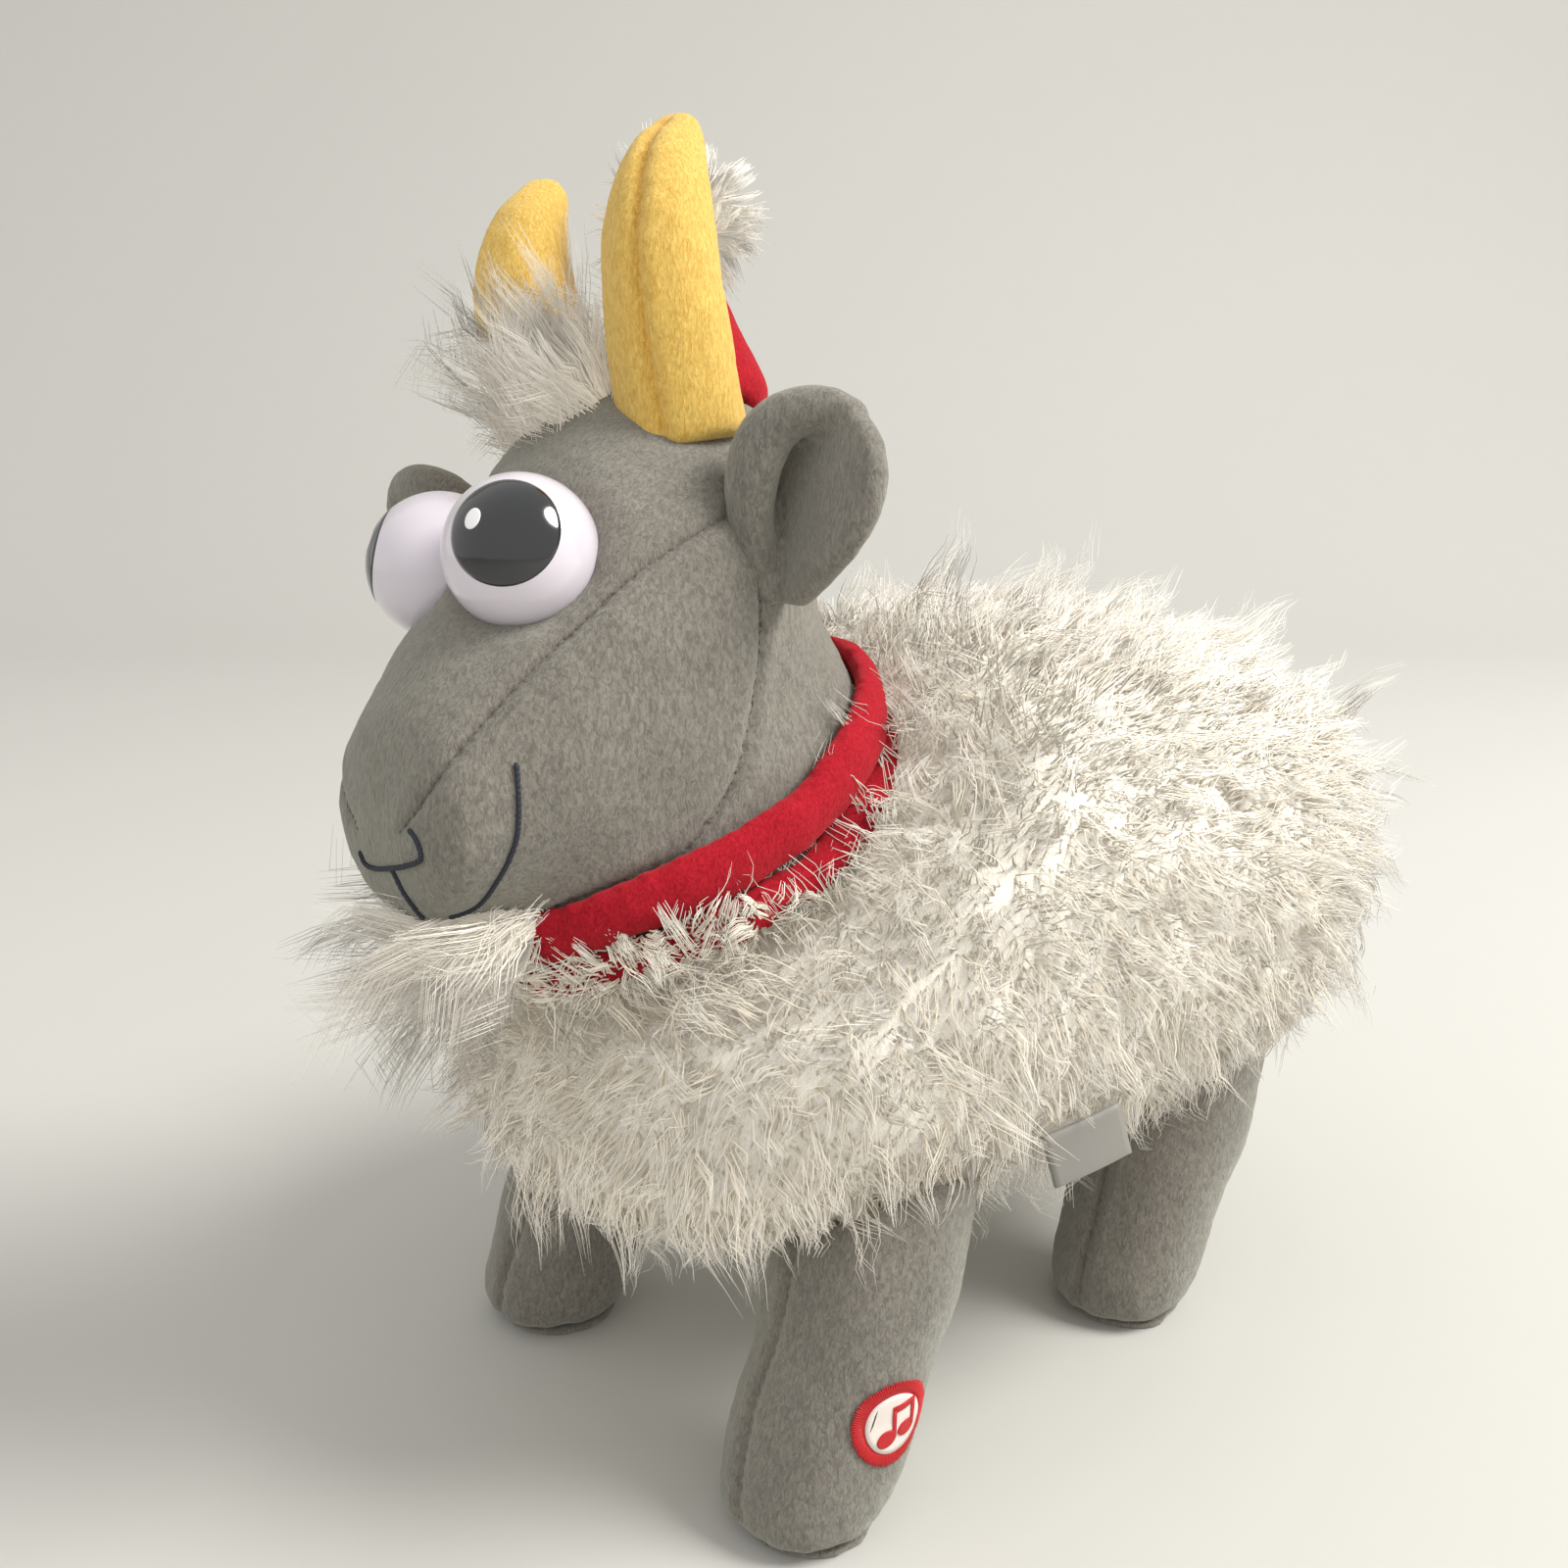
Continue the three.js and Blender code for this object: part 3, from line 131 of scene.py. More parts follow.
def placesOf(piece):
    places = np.empty(len(piece.data.vertices) * 3)
    piece.data.vertices.foreach_get("co", places)
    return places.reshape(-1, 3)


def setPlaces(piece, places):
    piece.data.vertices.foreach_set("co", places.ravel())
    piece.data.update()


def normalsOf(piece):
    normals = np.empty(len(piece.data.vertices) * 3)
    piece.data.vertices.foreach_get("normal", normals)
    return normals.reshape(-1, 3)


def surfaceOf(piece):
    places = [v.co.copy() for v in piece.data.vertices]
    return BVHTree.FromPolygons(places, [tuple(p.vertices) for p in piece.data.polygons])


def faceOutward(piece, weld=0.0):
    # joins places closer than weld and turns every face outward
    form = bmesh.new()
    form.from_mesh(piece.data)
    if weld:
        bmesh.ops.remove_doubles(form, verts=form.verts, dist=weld)
    bmesh.ops.recalc_face_normals(form, faces=form.faces)
    form.to_mesh(piece.data)
    form.free()
    return piece


def ringFaces(rows, count, base=0):
    # four-sided faces between rows of points that each run once round
    faces = []
    for row in range(rows):
        for k in range(count):
            a, b = base + row * count + k, base + row * count + (k + 1) % count
            faces.append((a, a + count, b + count, b))
    return faces


def ramp(values, start, run):
    # 0 before start, 1 from start + run on; a run below zero comes in downwards
    return np.clip((values - start) / run, 0.0, 1.0)


def cadCopy(node, name, mirrored=False, hull=False):
    form = bmesh.new()
    form.from_mesh(cadNodes[node].data)
    bmesh.ops.remove_doubles(form, verts=form.verts, dist=0.01 * mm)
    if hull:
        found = bmesh.ops.convex_hull(form, input=form.verts)["geom"]
        onHull = {part for part in found if isinstance(part, bmesh.types.BMVert)}
        bmesh.ops.delete(form, geom=[v for v in form.verts if v not in onHull], context="VERTS")
    if mirrored:
        bmesh.ops.scale(form, vec=(-1, 1, 1), verts=form.verts)
    bmesh.ops.recalc_face_normals(form, faces=form.faces)
    mesh = bpy.data.meshes.new(name)
    form.to_mesh(mesh)
    form.free()
    piece = bpy.data.objects.new(name, mesh)
    scene.collection.objects.link(piece)
    return piece


def finishPiece(piece, finish, body, stands=()):
    piece.data.materials.clear()
    piece.data.materials.append(finish)
    if body:
        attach(piece, body)
    for node in stands:
        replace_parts(piece, node)
    return piece


def newFinish(name):
    finish = bpy.data.materials.new(name)
    finish.use_nodes = True
    tree = finish.node_tree
    tree.nodes.clear()
    shader = put(tree, "ShaderNodeBsdfPrincipled", out=None)
    put(tree, "ShaderNodeOutputMaterial", {"Surface": shader.outputs[0]})
    return finish, tree, shader


def mixed(tree, share, first, second, blend="MIX"):
    return put(tree, "ShaderNodeMix", {0: share, 6: first, 7: second}, out=2, data_type="RGBA",
               blend_type=blend)


def plainFinish(name, base, roughness=0.5, metallic=0.0, speckle=0.06, grain=900.0):
    finish, tree, shader = newFinish(name)
    place = put(tree, "ShaderNodeTexCoord", out="Object")
    grit = put(tree, "ShaderNodeTexNoise", {"Vector": place, "Scale": grain, "Detail": 2.0})
    dark = tuple(c * (1 - speckle) for c in base[:3]) + (1.0,)
    setInputs(tree, shader, {"Base Color": mixed(tree, grit, dark, base), "Roughness": roughness,
                             "Metallic": metallic})
    return finish


def glossFinish(name, base, roughness, coat):
    finish = plainFinish(name, base, roughness, speckle=0.02, grain=60.0)
    shader = next(n for n in finish.node_tree.nodes if n.type == "BSDF_PRINCIPLED")
    setInputs(finish.node_tree, shader, {"Coat Weight": coat, "Coat Roughness": 0.03})
    return finish


def plushFinish(name, plush):
    # short pile: streaky nap, blotches where it lies another way, pale sheen at the edges
    finish, tree, shader = newFinish(name)
    place = put(tree, "ShaderNodeTexCoord", out="Object")
    along = put(tree, "ShaderNodeMapping", {"Vector": place, "Scale": plush["napStretch"]})
    streak = put(tree, "ShaderNodeTexNoise", {"Vector": along, "Scale": plush["napScale"], "Detail": 4.0,
                                              "Roughness": 0.7, "Distortion": 0.8})
    blotch = put(tree, "ShaderNodeTexNoise", {"Vector": place, "Scale": plush["blotchScale"], "Detail": 2.0})
    speck = put(tree, "ShaderNodeMapRange", {0: streak, 1: 0.38, 2: 0.62})
    patch = put(tree, "ShaderNodeMapRange", {0: blotch, 1: 0.3, 2: 0.7})
    # painted shade: the seam attribute darkens the cloth by seamShade along the grooves
    seam = put(tree, "ShaderNodeAttribute", out="Fac", attribute_name="seam")
    tint = mixed(tree, speck, plush["deep"], plush["pale"])
    tint = mixed(tree, 1.0, tint, mixed(tree, patch, (*[plush["patch"]] * 3, 1), (1, 1, 1, 1)), "MULTIPLY")
    tint = mixed(tree, 1.0, tint, mixed(tree, seam, (1, 1, 1, 1), plush["seamShade"]), "MULTIPLY")
    nub = put(tree, "ShaderNodeBump", {"Height": streak, "Strength": plush["bump"], "Distance": 0.5 * mm})
    setInputs(tree, shader, {"Base Color": tint, "Normal": nub, "Roughness": 0.95, "Specular IOR Level": 0.15,
                             "Sheen Weight": plush["sheen"], "Sheen Roughness": 0.45,
                             "Sheen Tint": plush["sheenTint"]})
    return finish


def furFinish(name, fur, glow):
    # the tree stores how far along the strand a point is, a chance value for each lock and the way it faces
    finish, tree, shader = newFinish(name)
    along = put(tree, "ShaderNodeAttribute", out="Fac", attribute_name="along")
    chance = put(tree, "ShaderNodeAttribute", out="Fac", attribute_name="chance")
    facing = put(tree, "ShaderNodeAttribute", out="Vector", attribute_name="facing")
    facing = put(tree, "ShaderNodeVectorTransform", {0: facing}, vector_type="NORMAL", convert_from="OBJECT",
                 convert_to="WORLD")
    # painted shade: strands run from a darker, warmer root colour to the tip, standing for shade deep in the
    # pile
    strand = mixed(tree, along, fur["root"], fur["tip"])
    tint = mixed(tree, 1.0, strand, mixed(tree, chance, fur["warm"], (1, 1, 1, 1)), "MULTIPLY")
    # the emission stands for the light that white pile passes from strand to strand
    setInputs(tree, shader, {"Base Color": tint, "Normal": facing, "Roughness": 0.6,
                             "Specular IOR Level": 0.25, "Sheen Weight": 0.5, "Sheen Roughness": 0.6,
                             "Emission Color": fur["root"], "Emission Strength": glow})
    return finish


# plush, fur and thread
# seamShade is the painted shade colour in the seam grooves
greyPlush = plushFinish("greyPlush", {
    "deep": colour(111, 106, 99), "pale": colour(142, 137, 128), "patch": 0.88, "blotchScale": 55.0,
    "napScale": 1700.0, "napStretch": (1.0, 0.6, 0.3), "bump": 0.8, "seamShade": (0.72, 0.7, 0.68, 1),
    "sheen": 0.6, "sheenTint": colour(222, 228, 216)})
yellowPlush = plushFinish("yellowPlush", {
    "deep": colour(212, 168, 80), "pale": colour(238, 203, 112), "patch": 0.94, "blotchScale": 70.0,
    "napScale": 1700.0, "napStretch": (1.0, 1.0, 0.3), "bump": 0.8, "seamShade": (0.93, 0.78, 0.55, 1),
    "sheen": 0.35, "sheenTint": colour(255, 245, 205)})
redPlush = plushFinish("redPlush", {
    "deep": colour(150, 16, 30), "pale": colour(188, 32, 48), "patch": 0.9, "blotchScale": 80.0,
    "napScale": 1900.0, "napStretch": (1.0, 1.0, 0.5), "bump": 0.6, "seamShade": (0.7, 0.7, 0.7, 1),
    "sheen": 0.4, "sheenTint": colour(255, 110, 110)})
woolBacking = plushFinish("woolBacking", {
    "deep": colour(244, 236, 220), "pale": colour(254, 251, 243), "patch": 0.95, "blotchScale": 120.0,
    "napScale": 1100.0, "napStretch": (1.0, 0.6, 0.4), "bump": 1.0, "seamShade": (1, 1, 1, 1),
    "sheen": 0.4, "sheenTint": colour(255, 255, 250)})
# the root colours are painted shade from deep in the pile; the tips are the fibres' own white
bodyFur = {"root": colour(253, 240, 216), "tip": colour(255, 253, 248), "warm": (0.99, 0.97, 0.925, 1)}
tuftFur = {"root": colour(253, 243, 224), "tip": colour(255, 252, 246), "warm": (0.99, 0.96, 0.91, 1)}
shag = furFinish("shag", bodyFur, 0.23)
whisker = furFinish("whisker", tuftFur, 0.25)
fluff = furFinish("fluff", tuftFur, 0.42)
navyThread = plainFinish("navyThread", colour(38, 44, 56), 0.7, speckle=0.3, grain=1500.0)
redThread = plainFinish("redThread", colour(196, 18, 26), 0.45, speckle=0.25, grain=1500.0)
whiteThread = plainFinish("whiteThread", colour(232, 222, 214), 0.5, speckle=0.12, grain=1500.0)
greySatin = plainFinish("greySatin", colour(140, 137, 131), 0.5, speckle=0.1, grain=1800.0)

# moulded eyes
eyeWhite = glossFinish("eyeWhite", colour(214, 207, 216), 0.18, 0.6)
pupilBlack = glossFinish("pupilBlack", colour(22, 24, 28), 0.12, 0.8)
glintWhite = glossFinish("glintWhite", colour(240, 240, 242), 0.3, 0.2)

# the solids that the scene shows as they are
springSteel = plainFinish("springSteel", colour(190, 192, 196), 0.3, 1.0)
cadFinishes = [
    (plainFinish("whiteNylon", colour(230, 228, 221), 0.45), ["left_eye_washer", "right_eye_washer"]),
    (plainFinish("blackPlastic", colour(34, 34, 37), 0.42, speckle=0.15),
     ["case_body", "case_cover", "battery_door", "power_switch", "power_knob", "switch_housing",
      "button_cap"]),
    (springSteel, ["speaker_frame", "contact_plate_left", "contact_plate_right", "case_screw_1",
                   "case_screw_2", "case_screw_3", "case_screw_4", "door_screw"]),
    (plainFinish("magnetGrey", colour(96, 98, 102), 0.4, 0.8), ["speaker_magnet"]),
    (plainFinish("boardGreen", colour(31, 92, 54), 0.5), ["circuit_board", "contact_board"]),
    (plainFinish("cellSleeve", colour(172, 176, 180), 0.35, 0.4), ["battery_1", "battery_2", "battery_3"]),
    (plainFinish("coneBlack", colour(26, 26, 28), 0.85), ["speaker_cone"]),
    (plainFinish("leadRed", colour(158, 24, 28), 0.5), ["switch_lead"]),
]
for finish, names in cadFinishes:
    for node in names:
        mesh = cadNodes[node].data
        for index in range(max(1, len(mesh.materials))):
            if len(mesh.materials) <= index:
                mesh.materials.append(finish)
            else:
                mesh.materials[index] = finish
print("finishes made")


# stuffed cloth
stuffing = {"pressure": 4.0, "frames": 20, "stiffness": 20.0, "limit": 1.4, "held": 3.0}


def puff(piece, seams, limit):
    # pressure from the stuffing swells the cloth between its seams
    before = placesOf(piece)
    group = piece.vertex_groups.new(name="seams")
    for index, place in enumerate(before):
        near = min((np.abs(seam - place).max(1).min() for seam in seams), default=1.0)
        if near < stuffing["held"] * mm:
            group.add([index], 1.0, "REPLACE")
    cloth = piece.modifiers.new("stuffing", "CLOTH")
    cloth.settings.quality = 4
    cloth.settings.use_pressure = True
    cloth.settings.uniform_pressure_force = stuffing["pressure"]
    cloth.settings.tension_stiffness = stuffing["stiffness"]
    cloth.settings.compression_stiffness = stuffing["stiffness"]
    cloth.settings.shear_stiffness = stuffing["stiffness"]
    cloth.settings.effector_weights.gravity = 0.0
    cloth.collision_settings.use_collision = False
    if seams:
        cloth.settings.vertex_group_mass = "seams"
    cloth.point_cache.frame_start = 1
    cloth.point_cache.frame_end = stuffing["frames"]
    for moment in range(1, stuffing["frames"] + 1):
        scene.frame_set(moment)
    settle(piece)
    scene.frame_set(1)
    moved = placesOf(piece) - before
    reach = np.linalg.norm(moved, axis=1, keepdims=True)
    print("  puffed", piece.name, "up to", round(float(reach.max()) / mm, 2), "mm")
    setPlaces(piece, before + moved * np.minimum(1.0, limit * mm / np.maximum(reach, 1e-9)))
    piece.vertex_groups.clear()


def curveThrough(knots, shares):
    # places on a smooth curve through the knots; shares run from 0 to 1
    knots = np.array(knots, float)
    wider = np.vstack([knots[:1], knots, knots[-1:]])
    at = np.asarray(shares) * (len(knots) - 1)
    first = np.minimum(at.astype(int), len(knots) - 2)
    t = (at - first)[:, None]
    a, b, c, d = (wider[first + k] for k in range(4))
    bow, twist = 2 * a - 5 * b + 4 * c - d, 3 * b - a - 3 * c + d
    return 0.5 * (2 * b + (c - a) * t + bow * t * t + twist * t ** 3)


def seamLine(surface, points, step=0.8):
    # a smooth line through the given points, laid on the surface
    knots = np.array([tuple(p) for p in points])
    run = np.concatenate([[0.0], np.cumsum(np.linalg.norm(np.diff(knots, axis=0), axis=1))])
    even = np.linspace(0.0, run[-1], max(4, int(run[-1] / step / mm)))
    line = curveThrough(knots, np.interp(even, run, np.linspace(0, 1, len(knots))))
    laid = [surface.find_nearest(Vector(p))[0] for p in line]
    return np.array([list(p) for p in laid])


def pressSeam(piece, line, depth=1.0, width=1.5, swell=0.35):
    # a groove where two panels meet, puckered by the stitches, with the cloth a little fuller beside it, and
    # painted shade stored along the groove for the finish
    places, normals = placesOf(piece), normalsOf(piece)
    mesh = piece.data
    paintedGrooveShade = mesh.attributes.get("seam") or mesh.attributes.new("seam", "FLOAT", "POINT")
    dark = np.empty(len(places), np.float32)
    paintedGrooveShade.data.foreach_get("value", dark)
    run = np.concatenate([[0.0], np.cumsum(np.linalg.norm(np.diff(line, axis=0), axis=1))])
    low, high = line.min(0) - 9 * mm, line.max(0) + 9 * mm
    near = np.where(((places > low) & (places < high)).all(1))[0]
    for part in np.array_split(near, max(1, len(near) // 4000)):
        gaps = np.linalg.norm(places[part][:, None] - line[None], axis=2)
        nearest = gaps.argmin(1)
        gap, at = gaps.min(1) / mm, run[nearest] / mm
        ends = np.minimum(at, run[-1] / mm - at)
        fade = np.clip(ends / 4.0 + 0.35, 0.0, 1.0)
        pucker = 1.0 + 0.22 * np.sin(at * 2 * math.pi / 3.1)
        shape = -depth * pucker * np.exp(-(gap / width) ** 2) + swell * np.exp(-((gap - 3.6) / 2.0) ** 2)
        places[part] += normals[part] * (shape * fade * mm)[:, None]
        # painted shade: the seam attribute darkens the groove's cloth as if shade fell in it
        dark[part] = np.maximum(dark[part], np.exp(-(gap / (0.62 * width)) ** 2) * fade)
    paintedGrooveShade.data.foreach_set("value", dark)
    setPlaces(piece, places)


def lumps(piece, size, height, seed):
    # slight unevenness of stuffed cloth
    places, normals = placesOf(piece), normalsOf(piece)
    shift = Vector((seed * 3.1, seed * 1.7, seed * 2.3))
    rise = np.array([noise.noise(Vector(p) / (size * mm) + shift) for p in places])
    setPlaces(piece, places + normals * (rise * height * mm)[:, None])


def fillHollows(piece, passes, where):
    # stuffing bridges creases: smooth the form and keep only where that lies further out
    mesh = piece.data
    ends = np.empty(len(mesh.edges) * 2, int)
    mesh.edges.foreach_get("vertices", ends)
    a, b = ends.reshape(-1, 2).T
    before, normals = placesOf(piece), normalsOf(piece)
    lift = where(before)[:, None]
    count = np.bincount(np.concatenate([a, b]), minlength=len(before))[:, None]
    places = before.copy()
    for _ in range(passes):
        total = np.zeros_like(places)
        np.add.at(total, a, places[b])
        np.add.at(total, b, places[a])
        middle = total / count
        rise = ((middle - before) * normals).sum(1, keepdims=True)
        places = before + normals * np.maximum(rise, 0.0) * lift
    setPlaces(piece, places)


def stuffed(piece, cloth, seams=()):
    piece.data.shade_smooth()
    even = piece.modifiers.new("even", "REMESH")
    even.mode = "VOXEL"
    even.voxel_size = cloth["weave"] * mm
    settle(piece)
    ease = piece.modifiers.new("ease", "SMOOTH")
    ease.factor = 0.5
    ease.iterations = cloth["ease"]
    settle(piece)
    if cloth.get("fill"):
        fillHollows(piece, cloth["fill"], cloth["where"])
    if cloth.get("grow"):
        setPlaces(piece, placesOf(piece) + normalsOf(piece) * cloth["grow"] * mm)
    surface = surfaceOf(piece)
    lines = [seamLine(surface, s["points"]) for s in seams]
    puff(piece, lines, cloth.get("limit", stuffing["limit"]))
    soft = piece.modifiers.new("soft", "SUBSURF")
    soft.levels = soft.render_levels = cloth["levels"]
    settle(piece)
    lumps(piece, 17.0, cloth.get("lumps", 0.7), cloth["seed"])
    lumps(piece, 3.2, 0.18, cloth["seed"] + 5)
    surface = surfaceOf(piece)
    for s in seams:
        pressSeam(piece, seamLine(surface, s["points"]), s.get("depth", 1.0), s.get("width", 1.5))
    piece.data.shade_smooth()
    return piece


# the head, stuffed down to the scarf, and the neck it sits on
neck = {"seam": (0.0, -58.7, 144.0), "axis": (0.0, -0.5, 0.866), "fillFrom": 14.0, "fillRun": 10.0}
head = {
    "origin": (-5.0, -73.7, 200.4), "yaw": 3.93, "nod": 3.37, "roll": -9.04,
    "cloth": {"weave": 4.0, "ease": 6, "fill": 60, "grow": 0.5, "levels": 2, "seed": 3, "lumps": 0.8},
    # panel seams on the goat's left side, head frame; each has a mirror twin
    "seams": [
        {"points": [(37.6, 2.1, 17.2), (37.1, -12.2, 12.7), (34.5, -23.7, 7.7), (31.1, -34.6, 1.1),
                    (25.3, -51.6, -11.1), (18.6, -68.1, -25.6), (9.0, -71.2, -34.2)],
         "depth": 0.8, "width": 1.0},
        {"points": [(40.1, 4.2, 2.5), (39.3, 2.3, -9.3), (37.6, 0.1, -19.2), (35.8, -3.9, -29.9),
                    (34.8, -9.1, -39.3), (32.5, -15.4, -46.2), (29.0, -21.0, -51.5)],
         "depth": 1.1, "width": 1.0},
        {"points": [(29.9, -19.6, -51.0), (25.1, -29.3, -53.1), (18.4, -37.3, -54.9), (9.5, -44.0, -56.9),
                    (0.0, -47.6, -58.2)], "depth": 0.8, "width": 1.0},
    ],
    # navy stitching, head frame
    "nose": [(-8.9, -71.5, -39.8), (-8.4, -71.4, -41.3), (-4.8, -71.3, -42.3), (4.7, -71.7, -41.6),
             (12.6, -71.0, -40.2), (14.5, -70.7, -38.8), (14.3, -71.0, -35.4), (13.3, -71.2, -34.1)],
    "lip": [(3.5, -71.6, -42.2), (4.5, -70.9, -45.7), (5.4, -70.0, -49.3), (4.8, -68.2, -52.6)],
    "smile": [(27.7, -54.6, -24.9), (27.4, -55.2, -30.9), (25.9, -56.0, -37.7), (23.1, -57.2, -42.6),
              (19.0, -59.0, -47.7), (12.8, -60.2, -52.0), (9.0, -63.5, -54.0)],
    "middle": 2.0,
}
headTurn = (Matrix.Rotation(math.radians(head["yaw"]), 3, "Z")
            @ Matrix.Rotation(math.radians(head["nod"]), 3, "X")
            @ Matrix.Rotation(math.radians(head["roll"]), 3, "Y"))


def onHead(x, y, z):
    return (Vector(head["origin"]) + headTurn @ Vector((x, y, z))) * mm


def headDirection(x, y, z):
    return (headTurn @ Vector((x, y, z))).normalized()


def besideNeck(places):
    # offset from the neck's seam, height along the neck, and the arm out from its axis
    axis = np.array(neck["axis"])
    offset = places - np.array(neck["seam"])
    height = offset @ axis
    return offset, height, offset - height[:, None] * axis


def aboveScarf(places):
    # 0 under the scarf to 1 a little above it
    return ramp(besideNeck(places / mm)[1], neck["fillFrom"], neck["fillRun"])


headSeams = []
for seam in head["seams"]:
    for side in (1, -1):
        headSeams.append({**seam, "points": [onHead(side * x, y, z) for x, y, z in seam["points"]]})
headPlush = stuffed(cadCopy("head", "headPlush"), {**head["cloth"], "where": aboveScarf}, headSeams)
finishPiece(headPlush, greyPlush, "goat", ["head"])
headSurface = surfaceOf(headPlush)
print("head made", len(headPlush.data.polygons))


# the moulded eyes
eye = {"centre": (15.5, -37.0, 15.2), "radius": 15.9, "pupilOut": 45.0, "pupilUp": 20.0, "pupilHalf": 43.0,
       "pupilProud": 0.12, "pupilThick": 0.5, "glintOut": 22.3, "glintUp": 28.2, "glintWide": 3.6,
       "glintHigh": 4.4, "glintProud": 0.2, "glintThick": 0.25}


def dome(name, centre, direction, radius, halfAngle, thickness, stretch=1.0, rings=16, sides=64):
    # a thin cap of a ball, closed, with a rounded rim
    towards = Vector(direction).normalized()
    across = towards.cross(Vector((0, 0, 1))).normalized()
    upward = across.cross(towards)
    inner = radius - thickness
    profile = [(halfAngle * i / rings, radius) for i in range(rings)]
    profile += [(halfAngle * 0.995, radius - 0.15 * thickness), (halfAngle, radius - 0.5 * thickness),
                (halfAngle * 0.98, inner), (halfAngle * 0.5, inner), (0.0, inner)]
    points = []
    for angle, reach in profile:
        for k in range(sides):
            turn = 2 * math.pi * k / sides
            side = math.sin(angle) * reach
            points.append(Vector(centre) + towards * math.cos(angle) * reach
                          + across * math.cos(turn) * side + upward * math.sin(turn) * side * stretch)
    return faceOutward(addPiece(name, points, ringFaces(len(profile) - 1, sides)), 0.0005 * mm)


def ball(name, centre, radius, rings=40, sides=64):
    centre, pole = Vector(centre), Vector((0, 0, radius))
    points = [centre + pole]
    for i in range(1, rings):
        high = math.pi * i / rings
        for k in range(sides):
            turn = 2 * math.pi * k / sides
            points.append(centre + Vector((math.sin(high) * math.cos(turn), math.sin(high) * math.sin(turn),
                                           math.cos(high))) * radius)
    points.append(centre - pole)
    last, end = 1 + (rings - 2) * sides, len(points) - 1
    faces = [(0, 1 + k, 1 + (k + 1) % sides) for k in range(sides)] + ringFaces(rings - 2, sides, 1)
    faces += [(last + k, end, last + (k + 1) % sides) for k in range(sides)]
    return addPiece(name, points, faces)


def lookTowards(out, up):
    out, up = math.radians(out), math.radians(up)
    return (math.sin(out) * math.cos(up), -math.cos(out) * math.cos(up), math.sin(up))


for side, word in ((1, "Left"), (-1, "Right")):
    centre = onHead(side * eye["centre"][0], *eye["centre"][1:])
    hand = word.lower()
    eyeball = ball("eyeball" + word, centre, eye["radius"] * mm)
    finishPiece(eyeball, eyeWhite, "goat", [hand + "_eye"])
    x, y, z = lookTowards(eye["pupilOut"], eye["pupilUp"])
    pupil = dome("pupil" + word, centre, headDirection(side * x, y, z),
                 (eye["radius"] + eye["pupilProud"]) * mm, math.radians(eye["pupilHalf"]),
                 eye["pupilThick"] * mm)
    finishPiece(pupil, pupilBlack, "goat", [hand + "_pupil"])
    x, y, z = lookTowards(eye["glintOut"], eye["glintUp"])
    glint = dome("glint" + word, centre, headDirection(side * x, y, z),
                 (eye["radius"] + eye["glintProud"]) * mm, eye["glintWide"] / 2 / eye["radius"],
                 eye["glintThick"] * mm, eye["glintHigh"] / eye["glintWide"], 8, 32)
    finishPiece(glint, glintWhite, "goat")
print("eyes made")


# horns, ears and hat; "spread" and "sink" are heights in the head's frame and the runs down from them
horn = {"cloth": {"weave": 1.9, "ease": 5, "grow": 0.5, "levels": 1, "seed": 7, "lumps": 0.5, "limit": 0.8},
        "foot": (24.0, 7.0), "footSpread": 0.13, "footDepth": 13.0, "spread": (66.0, -26.0),
        "sink": (48.0, -9.0),
        "seam": [(26.5, -4.5, 32.0), (27.6, -6.0, 40.0), (28.4, -7.4, 50.0), (29.4, -8.0, 60.0),
                 (30.0, -7.2, 70.0), (30.0, -4.6, 79.0), (29.0, -0.4, 87.0), (27.2, 6.0, 94.0),
                 (26.2, 11.0, 98.0)]}
# the folded ear in its own frame: a plump lip up beside the crease and over the top, and a slope behind it
ear = {"Left": {"place": (45.0, 6.7, -1.6), "turn": (-6.0, 20.0, 20.0)},
       "Right": {"place": (46.0, 0.0, 5.0), "turn": (16.0, 36.0, -6.0)},
       "lip": [(-6.0, 1.5, -1.5, 2.6), (-9.0, -1.0, 7.0, 3.8), (-11.6, -3.5, 16.0, 5.2),
               (-11.8, -4.5, 26.0, 6.0), (-8.2, -4.0, 34.0, 5.4), (-1.4, -1.5, 38.2, 4.4),
               (5.0, -0.5, 37.6, 3.8)],
       "back": [(-5.5, 5.4, 33.0, 3.2), (-7.4, 6.0, 24.0, 3.4), (-7.8, 6.2, 15.0, 3.4), (-6.5, 6.0, 7.0, 3.2),
                (-4.0, 5.0, 0.0, 2.8)],
       "crease": [(-3.8, 4.6, 34.5), (-5.2, 5.6, 25.0), (-5.8, 5.8, 16.0), (-5.2, 5.4, 8.0), (-3.0, 4.6, 0.5)],
       "rim": [(4.5, -0.5, 37.4), (11.6, -3.4, 32.0), (14.4, -4.4, 23.0), (10.8, -3.2, 12.5), (1.5, 1.6, 1.0)],
       "slopeThick": 3.3,
       "cloth": {"weave": 1.1, "ease": 2, "levels": 1, "seed": 9, "lumps": 0.35, "limit": 0.3}}
hat = {"cloth": {"weave": 2.4, "ease": 3, "grow": 0.3, "levels": 1, "seed": 11, "lumps": 0.4, "limit": 0.5}}


def joinPieces(name, parts):
    points, faces = [], []
    for part in parts:
        base = len(points)
        points += [v.co.copy() for v in part.data.vertices]
        faces += [tuple(base + i for i in p.vertices) for p in part.data.polygons]
        bpy.data.objects.remove(part)
    return addPiece(name, points, faces)


